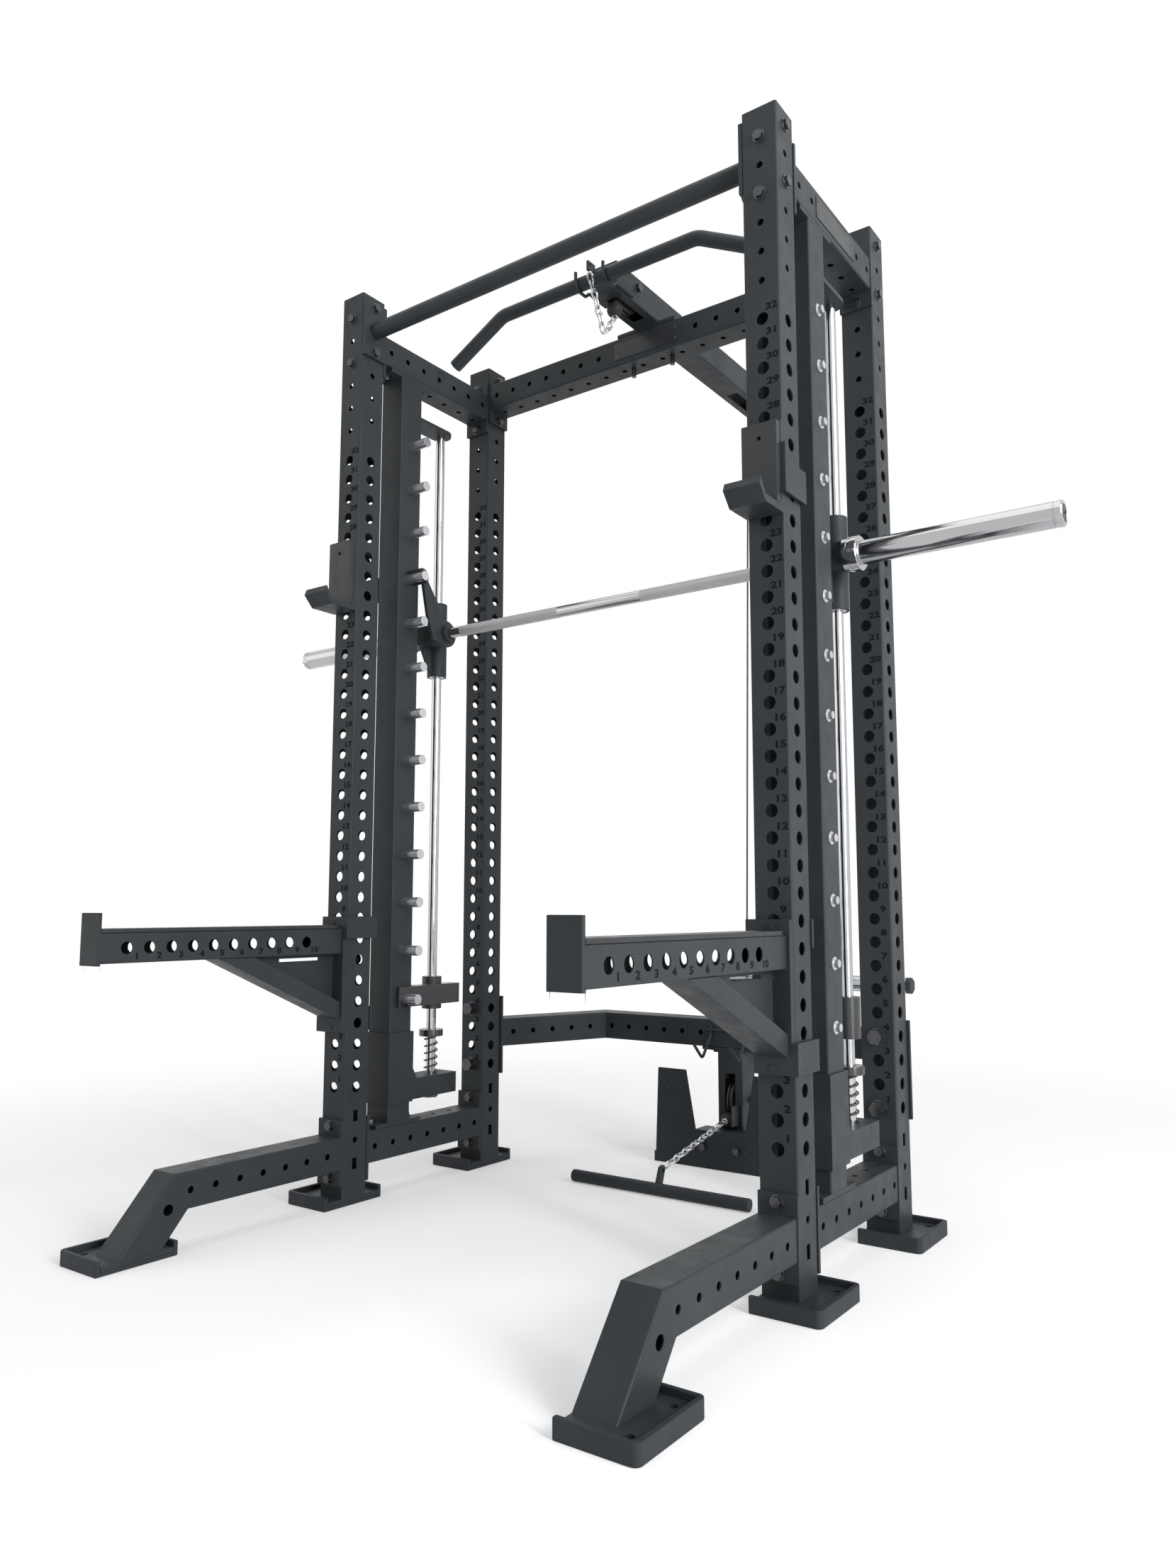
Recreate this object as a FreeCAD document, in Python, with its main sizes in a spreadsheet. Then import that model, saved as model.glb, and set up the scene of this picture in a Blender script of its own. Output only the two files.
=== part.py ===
import FreeCAD, Part
import math
import os
import re
import Sketcher
from FreeCAD import Rotation, Vector

SIZES = {
    # square tube and plates
    "tube": 75, "tube_wall": 3, "tube_round": 4, "plate": 8, "plate_high": 150,
    "fit_gap": 0.1, "slide_gap": 0.05,
    # uprights
    "post_x": 577.5, "bay_depth": 490, "post_top": 2260,
    "peg_hole": 25, "hole_first": 270, "hole_pitch": 50, "hole_count": 32,
    "bolt_hole": 14, "bolt_pitch": 60, "bolt_size": 12, "bolt_head": 19, "bolt_head_high": 9,
    "top_hole_first": 1898, "side_hole_first": 1928, "top_hole_count": 6,
    "low_slot_z": 204, "low_hole_z": 148.5, "low_slot_two_z": 94, "low_slot_high": 26,
    # feet
    "foot_out": 97.5, "foot_half": 87.5, "boot_high": 30, "boot_floor": 9, "boot_rim": 10,
    "boot_round": 12,
    "base_plate": 10, "anchor_in": 24,
    # front legs
    "leg_foot_y": 555, "leg_corner": 464, "leg_sole": 552, "leg_hole": 22,
    "leg_hole_y": 493, "leg_hole_z": 92.5, "leg_bolt_first": 83,
    # beams
    "low_beam_z": 122.5, "top_beam_z": 2138, "cross_z": 2168, "pull_bar": 40, "pull_bar_z": 2166,
    "nameplate_thick": 1.5, "nameplate_wide": 198, "nameplate_high": 45,
    # guided bar machine
    "slider_post_y": 142.5, "slider_plate": 10, "slider_plate_half": 75.5, "slider_bolt": 60,
    "peg": 25, "peg_first": 468, "peg_pitch": 120, "peg_count": 13, "peg_reach": 60,
    "peg_screw": 16, "peg_screw_high": 9, "peg_washer": 26,
    "guide_rod": 25, "guide_y": 292, "guide_low": 205, "guide_top": 2000, "guide_nut": 36,
    "tongue": 10, "tongue_half": 30, "tongue_end": 322,
    "bracket_wall": 5, "bracket_low": 212, "bracket_top": 385, "shelf_low": 215, "shelf_top": 266,
    "shelf_end": 350, "shelf_gusset": 300,
    "spring_wire": 4.5, "spring_room": 12, "spring_turns": 5, "disc_low": 361, "disc_high": 17,
    "disc_size": 62,
    "stop_sleeve": 51, "stop_low": 432, "stop_top": 515, "stop_block_low": 447,
    "stop_block_top": 497, "stop_front": 125, "stop_back": 345, "stop_inner": 49.5,
    "stop_plate": 10, "notch_gap": 0.4,
    "bar_y": 242, "bar_z": 1416, "bar_size": 28, "sleeve_size": 50, "sleeve_start": 77.5,
    "sleeve_end": 467.5, "collar_size": 72, "collar_start": 43.5,
    "slider_size": 52, "slider_low": 1316, "slider_top": 1519, "bearing_size": 40,
    "bearing_long": 30, "housing": 50, "housing_in": 37.5, "housing_out": 42.5,
    "hook_in": 82.5, "hook_plate": 10, "hook_hub": 35, "hook_peg_z": 1548, "drum_size": 42,
    "drum_in": 89.5, "drum_out": 41.5, "drum_gap": 0.8, "hook_bolt": 16, "flange_size": 45,
    # safety arms
    "arm_tube": 60, "arm_z": 615, "arm_front": 668, "arm_back": 52,
    "arm_end_low": 581, "arm_end_high": 103, "arm_liner": 8, "arm_hole_first": 605,
    "arm_hole_count": 10, "arm_pin_z": 570, "arm_low": 400, "arm_top": 673, "arm_inner": 49.5,
    "arm_outer": 49.5, "arm_strap": 6, "arm_pin_gap": 0.1,
    # bar cups
    "cup_pin_z": 1570, "cup_low": 1424.5, "cup_top": 1605, "cup_strap_low": 1463,
    "cup_strap_top": 1527, "cup_plate": 8, "cup_nose": 137, "cup_strap": 7,
    "cup_key": 8, "post_gap": 1,
    # rear frame
    "rear_z": 350, "rear_y": 895.5, "rear_half": 437, "rear_plate_low": 240,
    "rear_plate_top": 450, "rear_plate_half": 42.5, "rear_bolt": 24,
    "rear_bolt_high": 18, "rear_washer": 38, "rear_washer_thick": 3,
    "cradle_wire": 8, "cradle_x": 55,
    # low pulley station
    "low_y": 905, "low_z": 173, "low_groove": 50, "low_slot_half": 16, "low_slot_from": 95,
    "low_slot_to": 245, "foot_y": 796, "foot_thick": 5, "foot_half_low": 205,
    "foot_half_top": 191, "foot_high": 254, "foot_valley": 100, "foot_valley_half": 75,
    "foot_ear": 103, "ball": 40, "row_bar": 30, "row_bar_y": 482, "row_bar_half": 250,
    "lug_y": 503, "lug_z": 57, "chain": 5, "row_ball_y": 845,
    # high pulley beam
    "beam_front": 265, "beam_rear": 1240, "beam_low": 2215.5, "beam_seat": 10, "beam_bolt": 60,
    "front_y": 360, "front_z": 2262, "front_groove": 50, "back_y": 1175, "back_z": 2272,
    "back_groove": 40, "riser_y": 1075, "riser_z": 2245, "riser_groove": 40, "slot_half": 17,
    "slot_front": 297, "slot_front_end": 423, "slot_rear": 930, "cable": 5, "axle": 12,
    "pulley_wide": 16, "pulley_rim": 4, "cable_gap": 0.5,
    "lat_bar": 34, "lat_bar_y": 220, "lat_bar_z": 2230, "lat_bar_half": 291,
    "lat_end_x": 457, "lat_end_z": 2142, "lat_bend": 60, "hook_wire": 8, "lat_ball_z": 2192,
    # weight carriage
    "float_y": 1165, "float_z": 600, "float_groove": 50, "horn_z": 480, "horn": 45,
    "horn_end": 407, "carriage_in": 14, "carriage_plate": 8, "carriage_half": 35,
    "carriage_low": 440, "carriage_top": 640, "horn_cap_long": 14,
}

WORDS = ("sqrt", "tan", "cos", "sin", "atan")
SHIFT = "(arm_front - beam_rear) / 2"

doc = FreeCAD.newDocument("PowerCage")
sheet = doc.addObject("Spreadsheet::Sheet", "Sizes")
for row, (alias, number) in enumerate(SIZES.items(), start=1):
    sheet.set(f"A{row}", alias)
    sheet.set(f"B{row}", str(number))
    sheet.setAlias(f"B{row}", alias)
doc.recompute()

nodes = {}
serial = [0]
V = SIZES


def size(text):
    """Turn a plain expression of sizes into one that reads the sheet."""
    def named(found):
        word = found.group(0)
        return word if word in WORDS else "Sizes." + word
    return re.sub(r"[a-z][a-z_]*", named, str(text))


def bind(item, **rules):
    for key, rule in rules.items():
        item.setExpression(key.replace("__", "."), size(rule))


def make(kind, label):
    serial[0] += 1
    item = doc.addObject(kind, f"{label}_{serial[0]}")
    item.Label = f"{label} {serial[0]}"
    return item


def place(item, x, y, z):
    bind(item, Placement__Base__x=x, Placement__Base__y=f"({y}) + {SHIFT}", Placement__Base__z=z)


def mirrored(xs, side):
    return xs if side > 0 else (f"-({xs[1]})", f"-({xs[0]})")


def box(label, xs, ys, zs, side=1):
    xs = mirrored(xs, side)
    item = make("Part::Box", label)
    bind(item, Length=f"({xs[1]}) - ({xs[0]})", Width=f"({ys[1]}) - ({ys[0]})",
         Height=f"({zs[1]}) - ({zs[0]})")
    place(item, xs[0], ys[0], zs[0])
    return item


TURNS = {"x": Rotation(Vector(0, 1, 0), 90), "y": Rotation(Vector(1, 0, 0), -90),
         "z": Rotation()}


def rod(label, axis, at, span, diameter, side=1):
    """A round bar along x, y or z; at gives the two other coordinates in order."""
    if axis == "x":
        span = mirrored(span, side)
        spot = (span[0], at[0], at[1])
    elif axis == "y":
        spot = (f"{side} * ({at[0]})", span[0], at[1])
    else:
        spot = (f"{side} * ({at[0]})", at[1], span[0])
    item = make("Part::Cylinder", label)
    item.Placement = FreeCAD.Placement(Vector(), TURNS[axis])
    bind(item, Radius=f"({diameter}) / 2", Height=f"({span[1]}) - ({span[0]})")
    place(item, *spot)
    return item


def hexagon(label, axis, at, span, across, side=1):
    """A hexagonal bar along an axis, measured across its flats."""
    if axis == "x":
        span = mirrored(span, side)
        spot = (span[0], at[0], at[1])
    elif axis == "y":
        spot = (f"{side} * ({at[0]})", span[0], at[1])
    else:
        spot = (f"{side} * ({at[0]})", at[1], span[0])
    item = make("Part::Prism", label)
    item.Polygon = 6
    item.Placement = FreeCAD.Placement(Vector(), TURNS[axis])
    bind(item, Circumradius=f"({across}) / sqrt(3)", Height=f"({span[1]}) - ({span[0]})")
    place(item, *spot)
    return item


def group(label, items):
    item = make("Part::Compound", label)
    item.Links = items
    return item


def fuse(label, items):
    item = make("Part::MultiFuse", label)
    item.Shapes = items
    return item


def cut(label, base, *tool_groups):
    """Cut one set of tools after another; crossing tools go in separate sets."""
    for tools in tool_groups:
        item = make("Part::Cut", label)
        item.Base = base
        item.Tool = tools if not isinstance(tools, list) else group(label + " tools", tools)
        base = item
    return base


def rounded(label, item, radius, wanted):
    """Round the edges of an item that the test accepts."""
    item.recompute()
    chosen = [index for index, edge in enumerate(item.Shape.Edges, start=1) if wanted(edge)]
    result = make("Part::Fillet", label)
    result.Base = item
    result.Edges = [(index, V[radius], V[radius]) for index in chosen]
    return result


def along(axis):
    """A test for straight edges that run along an axis."""
    place_in = "xyz".index(axis)

    def test(edge):
        run = edge.valueAt(edge.LastParameter) - edge.valueAt(edge.FirstParameter)
        return abs(abs(run[place_in]) - run.Length) < 1e-6
    return test


def tube_box(label, axis, xs, ys, zs, side=1):
    """The outside of a square tube: a box with its four long edges rounded."""
    return rounded(label, box(label, xs, ys, zs, side), "tube_round", along(axis))


PLANES = {"yz": ("YZ_Plane", "x"), "xz": ("XZ_Plane", "y"), "xy": ("XY_Plane", "z")}


def profile(label, plane, corners, span, side=1):
    """A pad of a closed outline; corners are pairs of rules in row coordinates."""
    body = make("PartDesign::Body", label)
    sketch = body.newObject("Sketcher::SketchObject", f"outline_{serial[0]}")
    origin = [item for item in body.Origin.OriginFeatures if PLANES[plane][0] in item.Name][0]
    sketch.AttachmentSupport = (origin, [""])
    sketch.MapMode = "FlatFace"
    values = []
    for first, second in corners:
        if plane == "yz":
            values.append((f"({first}) + {SHIFT}", second))
        elif plane == "xz":
            values.append((f"{side} * ({first})", second))
        else:
            values.append((f"{side} * ({first})", f"({second}) + {SHIFT}"))
    count = len(values)
    spots = [Vector(number(a), number(b), 0) for a, b in values]
    for index in range(count):
        sketch.addGeometry(Part.LineSegment(spots[index], spots[(index + 1) % count]))
    for index in range(count):
        sketch.addConstraint(
            Sketcher.Constraint("Coincident", index, 2, (index + 1) % count, 1))
    for index, (a, b) in enumerate(values):
        for kind, rule, start in (("DistanceX", a, spots[index].x), ("DistanceY", b, spots[index].y)):
            where = sketch.addConstraint(Sketcher.Constraint(kind, -1, 1, index, 1, start))
            sketch.setExpression(f"Constraints[{where}]", size(rule))
    pad = body.newObject("PartDesign::Pad", f"pad_{serial[0]}")
    pad.Profile = sketch
    bind(pad, Length=f"({span[1]}) - ({span[0]})")
    body.Tip = pad
    if plane == "yz":
        low = span[0] if side > 0 else f"-({span[1]})"
        bind(body, Placement__Base__x=low)
    elif plane == "xz":
        bind(body, Placement__Base__y=f"({span[1]}) + {SHIFT}")
    else:
        bind(body, Placement__Base__z=span[0])
    return body


def number(rule):
    """The value of a rule at the present sizes."""
    probe.setExpression("Length", size(f"({rule}) + 100000"))
    probe.recompute()
    return probe.Length.Value - 100000


probe = doc.addObject("Part::Box", "probe")


def solid_of(wire, diameter, start, along):
    ring = Part.Wire([Part.Circle(start, along, diameter / 2).toShape()])
    pipe = wire.makePipeShell([ring], True, False)
    return pipe


def feature(label, shape):
    item = make("Part::Feature", label)
    item.Shape = shape
    return item


def bent(label, points, radii, diameter, side=1):
    """Round bar or wire through points, with an arc at every inner corner."""
    offset = number(SHIFT)
    spots = [Vector(side * x, y + offset, z) for x, y, z in points]
    edges = []
    start = spots[0]
    for index in range(1, len(spots) - 1):
        corner = spots[index]
        back = (spots[index - 1] - corner).normalize()
        ahead = (spots[index + 1] - corner).normalize()
        half = back.getAngle(ahead) / 2
        radius = radii[index - 1]
        reach = radius / math.tan(half)
        enter = corner + back * reach
        leave = corner + ahead * reach
        middle = corner + (back + ahead).normalize() * (radius / math.sin(half) - radius)
        if (enter - start).Length > 0.01:
            edges.append(Part.LineSegment(start, enter).toShape())
        edges.append(Part.Arc(enter, middle, leave).toShape())
        start = leave
    if (spots[-1] - start).Length > 0.01:
        edges.append(Part.LineSegment(start, spots[-1]).toShape())
    wire = Part.Wire(edges)
    return feature(label, solid_of(wire, diameter, spots[0], spots[1] - spots[0]))


def square_ring(centre, ahead, half, radius):
    """A square with rounded corners across a direction, level or plumb on one side."""
    level = Vector(0, 0, 1) if abs(ahead.z) < 0.01 and abs(ahead.x) > 0.01 else Vector(1, 0, 0)
    other = ahead.cross(level).normalize()
    flat, bow = half - radius, half - radius * (1 - math.sqrt(0.5))
    edges = []
    for turn in range(4):
        a, b = level, other
        for _ in range(turn):
            a, b = b, -a
        edges.append(Part.LineSegment(centre + a * half - b * flat, centre + a * half + b * flat).toShape())
        edges.append(Part.Arc(centre + a * half + b * flat, centre + (a + b) * bow,
                              centre + a * flat + b * half).toShape())
    return Part.Wire(edges)


def mitred(label, points):
    """Square tube along straight runs with mitred corners."""
    offset = number(SHIFT)
    spots = [Vector(x, y + offset, z) for x, y, z in points]
    path = Part.Wire([Part.LineSegment(a, b).toShape() for a, b in zip(spots, spots[1:])])
    ahead = (spots[1] - spots[0]).normalize()
    shapes = []
    for inset in (0, V["tube_wall"]):
        ring = square_ring(spots[0], ahead, V["tube"] / 2 - inset, V["tube_round"] - inset)
        shapes.append(feature(label, path.makePipeShell([ring], True, False, 1)))
    return cut(label, *shapes)


def route(label, stations, diameter, first=None, last=None, split=None):
    """A cable at x = 0 over pulleys; a station is y, z and a signed groove radius."""
    offset = number(SHIFT)
    pairs = []
    for (y0, z0, r0), (y1, z1, r1) in zip(stations, stations[1:]):
        angle = math.atan2(z1 - z0, y1 - y0) - math.asin((r1 - r0) / math.hypot(z1 - z0, y1 - y0))
        left = (-math.sin(angle), math.cos(angle))
        pairs.append(((y0 - r0 * left[0], z0 - r0 * left[1]), (y1 - r1 * left[0], z1 - r1 * left[1])))
    edges = []
    total = 0.0
    for index, (leave, enter) in enumerate(pairs):
        if index > 0:
            y, z, radius = stations[index]
            before = pairs[index - 1][1]
            begin = math.atan2(before[1] - z, before[0] - y)
            end = math.atan2(leave[1] - z, leave[0] - y)
            turn = (end - begin) % (2 * math.pi)
            if radius < 0:
                turn = turn - 2 * math.pi
            middle = begin + turn / 2
            total += abs(turn * radius)
            spot = (y + abs(radius) * math.cos(middle), z + abs(radius) * math.sin(middle))
            flat = [Vector(0, a + offset, b) for a, b in (before, spot, leave)]
            edges.append(Part.Arc(*flat).toShape())
        ends = [Vector(0, a + offset, b) for a, b in (leave, enter)]
        total += (ends[1] - ends[0]).Length
        edges.append(Part.LineSegment(*ends).toShape())
    if split is not None:
        edges = edges[first:last]
        edges = split(edges, offset)
    else:
        edges = edges[first:last]
    wire = Part.Wire(edges)
    start = edges[0].valueAt(edges[0].FirstParameter)
    along = edges[0].tangentAt(edges[0].FirstParameter)
    item = feature(label, solid_of(wire, diameter, start, along))
    length = sum(edge.Length for edge in edges)
    volume = length * math.pi * diameter ** 2 / 4
    if abs(item.Shape.Volume - volume) > 0.01 * volume:
        raise ValueError(f"{label}: volume {item.Shape.Volume} against {volume}")
    print(f"{label}: length {length:.0f} mm")
    return item


def node(name, item):
    item.Label = name
    nodes[name] = item
    return item


SIDES = (("left", -1), ("right", 1))
POST_IN = "post_x - tube / 2"
POST_OUT = "post_x + tube / 2"
POST_XS = (POST_IN, POST_OUT)
BASE_TOP = "boot_floor + base_plate"


def square_y(label, ys, z, side=1):
    """Square tube along y at the uprights' x, open inside."""
    outer = tube_box(label, "y", POST_XS, ys, (f"{z} - tube / 2", f"{z} + tube / 2"), side)
    inner = box(label + " bore", (f"{POST_IN} + tube_wall", f"{POST_OUT} - tube_wall"), ys,
                (f"{z} - tube / 2 + tube_wall", f"{z} + tube / 2 - tube_wall"), side)
    return cut(label, outer, inner)


# ---- hole tools shared by the uprights and beams
def through_x(label, y, zs, diameter):
    reach = "post_x + tube"
    return [rod(label, "x", (y, z), (f"-({reach})", reach), diameter) for z in zs]


def through_y(label, x, ys, zs, diameter, side=1):
    return [rod(label, "y", (x, z), ys, diameter, side) for z in zs]


main_z = [f"hole_first + {k} * hole_pitch" for k in range(int(V["hole_count"]))]
top_z = [f"top_hole_first + {k} * bolt_pitch" for k in range(int(V["top_hole_count"]))]
side_z = [f"side_hole_first + {k} * bolt_pitch" for k in range(int(V["top_hole_count"]))]
bolt_z = ["low_beam_z - bolt_pitch", "low_beam_z + bolt_pitch"]
slot_z = ["low_slot_z", "low_slot_two_z"]


def low_slots(y):
    reach = "post_x + tube"
    tools = []
    for z in slot_z:
        tools.append(box("slot", (f"-({reach})", reach), (f"{y} - bolt_hole / 2", f"{y} + bolt_hole / 2"),
                         (f"{z} - low_slot_high / 2", f"{z} + low_slot_high / 2")))
    tools += through_x("low hole", y, ["low_hole_z"], "bolt_hole")
    return tools


x_tools = {}
for row_name, row_y in (("front", "0"), ("back", "bay_depth")):
    x_tools[row_name] = group(row_name + " cross holes", through_x("hole", row_y, main_z, "peg_hole")
                              + through_x("hole", row_y, side_z, "bolt_hole") + low_slots(row_y))
y_tools = {}
for side_name, side in SIDES:
    ys = ("-tube", "bay_depth + tube")
    y_tools[side_name] = group(side_name + " long holes",
                               through_y("hole", "post_x", ys, main_z, "peg_hole", side)
                               + through_y("hole", "post_x", ys, top_z, "bolt_hole", side)
                               + through_y("hole", "post_x", ys, bolt_z, "bolt_hole", side))


def foot_plate_at(y, side):
    """Steel base plate with two anchor holes at its outer corners."""
    sheet_part = box("base", (POST_IN, f"post_x + foot_out - boot_rim"),
                     (f"{y} - foot_half + boot_rim", f"{y} + foot_half - boot_rim"),
                     ("boot_floor", BASE_TOP), side)
    tools = [rod("anchor", "z", ("post_x + foot_out - boot_rim - anchor_in", f"{y} {sign} {reach}"),
                 ("0", "boot_high"), "bolt_hole", side)
             for sign, reach in (("-", "(foot_half - boot_rim - anchor_in)"),
                                 ("+", "(foot_half - boot_rim - anchor_in)"))]
    return cut("base", sheet_part, tools)


def boot_at(y, side):
    """Rubber tray: rim on the outer side and both ends, open toward the cage."""
    block = box("boot", (POST_IN, "post_x + foot_out"), (f"{y} - foot_half", f"{y} + foot_half"),
                ("0", "boot_high"), side)
    upright = along("z")
    block = rounded("boot", block, "boot_round",
                    lambda edge: upright(edge) and abs(edge.CenterOfMass.x) > V["post_x"])
    pocket = box("pocket", (f"{POST_IN} - 1", "post_x + foot_out - boot_rim + fit_gap"),
                 (f"{y} - foot_half + boot_rim - fit_gap", f"{y} + foot_half - boot_rim + fit_gap"),
                 ("boot_floor", "boot_high + 1"), side)
    tools = [rod("anchor", "z", ("post_x + foot_out - boot_rim - anchor_in", f"{y} {sign}"
                                 " (foot_half - boot_rim - anchor_in)"),
                 ("-1", "boot_high"), "bolt_hole", side) for sign in ("-", "+")]
    return cut("boot", block, pocket, tools)


for row_name, row_y in (("front", "0"), ("back", "bay_depth")):
    for side_name, side in SIDES:
        ys = (f"{row_y} - tube / 2", f"{row_y} + tube / 2")
        outer = tube_box("upright", "z", POST_XS, ys, (BASE_TOP, "post_top"), side)
        inner = box("upright bore", (f"{POST_IN} + tube_wall", f"{POST_OUT} - tube_wall"),
                    (f"{ys[0]} + tube_wall", f"{ys[1]} - tube_wall"),
                    (f"{BASE_TOP} - 1", "post_top - tube_wall"), side)
        shell = cut("upright", outer, inner, x_tools[row_name], y_tools[side_name])
        node(f"upright_{row_name}_{side_name}", group("upright", [shell, foot_plate_at(row_y, side)]))

boots = []
for side_name, side in SIDES:
    for foot_y in ("0", "bay_depth", "-leg_foot_y"):
        boots.append(boot_at(foot_y, side))
node("rubber_boots", group("boots", boots))

# ---- front legs
legs = []
for side_name, side in SIDES:
    start = "-tube / 2 - plate"
    first = (side * V["post_x"], -V["tube"] / 2 - V["plate"], V["low_beam_z"])
    corner = (side * V["post_x"], -V["leg_corner"], V["low_beam_z"])
    slope = (V["low_beam_z"] - V["boot_floor"] - V["base_plate"]) / (V["leg_sole"] - V["leg_corner"])
    sole = (side * V["post_x"], -V["leg_sole"] - 60, V["boot_floor"] + V["base_plate"] - 60 * slope)
    shell = mitred("leg", [first, corner, sole])
    below = box("leg trim", (f"{POST_IN} - 20", f"{POST_OUT} + 20"), ("-leg_sole - 300", "-leg_corner"),
                (f"{BASE_TOP} - 200", BASE_TOP), side)
    holes = [rod("leg hole", "x", (f"-leg_bolt_first - {k} * bolt_pitch", "low_beam_z"),
                 (f"{POST_IN} - 10", f"{POST_OUT} + 10"), "bolt_hole", side) for k in range(7)]
    holes.append(rod("leg hole", "x", ("-leg_hole_y", "leg_hole_z"),
                     (f"{POST_IN} - 10", f"{POST_OUT} + 10"), "leg_hole", side))
    shell = cut("leg", shell, below, holes)
    flange = box("leg flange", (POST_IN, f"{POST_OUT} + 2"), (start, "-tube / 2"),
                 ("low_beam_z - plate_high / 2", "low_beam_z + plate_high / 2"), side)
    flange = cut("leg flange", flange,
                 through_y("leg bolt hole", "post_x", (f"{start} - 1", "0"), bolt_z,
                           "bolt_size + 2 * fit_gap", side))
    legs += [shell, flange, foot_plate_at("-leg_foot_y", side)]
node("front_legs", group("legs", legs))


def side_beam(name, z, side, vertical):
    """Beam between a front and a back upright, and the bolted plate welded to each end."""
    near, far = "tube / 2 + plate", "bay_depth - tube / 2 - plate"
    shell = square_y(name, (near, far), z, side)
    ys = [f"bay_depth / 2 + {k} * bolt_pitch" for k in range(-3, 4)]
    across = [rod("hole", "x", (y, z), (f"{POST_IN} - 10", f"{POST_OUT} + 10"), "bolt_hole", side)
              for y in ys]
    upright_holes = [rod("hole", "z", ("post_x", y), (f"{z} - tube", f"{z} + tube"), "bolt_hole", side)
                     for y in ys + vertical]
    shell = cut(name, shell, across, upright_holes)
    flanges = []
    for ends in (("tube / 2", near), (far, "bay_depth - tube / 2")):
        flange = box("flange", (POST_IN, f"{POST_OUT} + 2"), ends,
                     (f"{z} - plate_high / 2", f"{z} + plate_high / 2"), side)
        bolts = through_y("bolt hole", "post_x", ("0", "bay_depth"),
                          [f"{z} - bolt_pitch", f"{z} + bolt_pitch"], "bolt_size + 2 * fit_gap", side)
        flanges.append(cut("flange", flange, bolts))
    return [shell] + flanges


SLIDER_BOLT_Y = ["slider_post_y - slider_bolt", "slider_post_y + slider_bolt"]
for name, z in (("side_beams_lower", "low_beam_z"), ("side_beams_upper", "top_beam_z")):
    node(name, group("side beams", side_beam("side beam", z, -1, SLIDER_BOLT_Y)
                     + side_beam("side beam", z, 1, SLIDER_BOLT_Y)))

# ---- back crossmember, pull-up bar, bare name plates
INNER = f"{POST_IN} - plate"
cross_y = ("bay_depth - tube / 2", "bay_depth + tube / 2")
cross_zs = ("cross_z - tube / 2", "cross_z + tube / 2")
outer = tube_box("cross", "x", (f"-({INNER})", INNER), cross_y, cross_zs)
inner = box("cross bore", (f"-({INNER})", INNER), (f"{cross_y[0]} + tube_wall", f"{cross_y[1]} - tube_wall"),
            (f"{cross_zs[0]} + tube_wall", f"{cross_zs[1]} - tube_wall"))
cross_x = [f"{sign} * (bolt_pitch / 2 + {k} * bolt_pitch)" for k in range(9) for sign in (-1, 1)]
face_holes = [rod("hole", "y", (x, "cross_z"), ("bay_depth - tube", "bay_depth + tube"), "bolt_hole")
              for x in cross_x if "+ 0 *" not in x and "+ 1 *" not in x]
down_holes = [rod("hole", "z", (x, "bay_depth"), ("cross_z - tube", "cross_z + tube"), "bolt_hole")
              for x in cross_x + ["-beam_bolt", "beam_bolt"]]
shell = cut("cross", outer, inner, face_holes, down_holes)
END_Z = ["cross_z - bolt_pitch", "cross_z + bolt_pitch"]


def cross_flanges(y):
    """The plates that bolt a cross piece to the inner faces of two uprights."""
    plates = []
    for side_name, side in SIDES:
        flange = box("flange", (INNER, POST_IN), (f"{y} - tube / 2", f"{y} + tube / 2"),
                     ("cross_z - plate_high / 2", "cross_z + plate_high / 2"), side)
        plates.append(cut("flange", flange, through_x("bolt hole", y, END_Z, "bolt_size + 2 * fit_gap")))
    return plates


node("back_crossmember", group("cross", [shell] + cross_flanges("bay_depth")))
bar_piece = rod("pull bar", "x", ("0", "pull_bar_z"), (f"-({INNER})", INNER), "pull_bar")
node("pull_up_bar", group("pull bar", [bar_piece] + cross_flanges("0")))

back_plate = box("name", ("-nameplate_wide / 2", "nameplate_wide / 2"),
                 ("bay_depth - tube / 2 - nameplate_thick", "bay_depth - tube / 2"),
                 ("cross_z - nameplate_high / 2", "cross_z + nameplate_high / 2"))
side_plate = box("name", (POST_OUT, f"{POST_OUT} + nameplate_thick"),
                 ("bay_depth / 2 - nameplate_wide / 2", "bay_depth / 2 + nameplate_wide / 2"),
                 ("top_beam_z - nameplate_high / 2", "top_beam_z + nameplate_high / 2"))
node("nameplates", group("names", [back_plate, side_plate]))

# ---- slider posts with pegs
BASE_Z = "low_beam_z + tube / 2"
HEAD_Z = "top_beam_z - tube / 2"
tongues = {}
for side_name, side in SIDES:
    at = ("post_x", "guide_y")
    ends = ("guide_top", "guide_top + tongue")
    tongue = box("tongue", ("post_x - tongue_half", "post_x + tongue_half"),
                 ("slider_post_y + tube / 2", "tongue_end - tongue_half"), ends, side)
    nose = rod("tongue", "z", ("post_x", "tongue_end - tongue_half"), ends, "2 * tongue_half", side)
    rib = profile("tongue rib", "yz", [("slider_post_y + tube / 2", "guide_top"),
                                       ("slider_post_y + tube / 2 + 30", "guide_top"),
                                       ("slider_post_y + tube / 2", "guide_top - 30")],
                  ("post_x - 4", "post_x + 4"), side)
    tongues[side] = cut("tongue", fuse("tongue", [tongue, nose, rib]),
                        [rod("tongue hole", "z", at, ("guide_top - 1", "guide_top + tongue + 1"),
                             "bolt_size + 2 * fit_gap", side)])
slider_posts = []
peg_zs = [f"peg_first + {k} * peg_pitch" for k in range(int(V["peg_count"]))]
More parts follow.
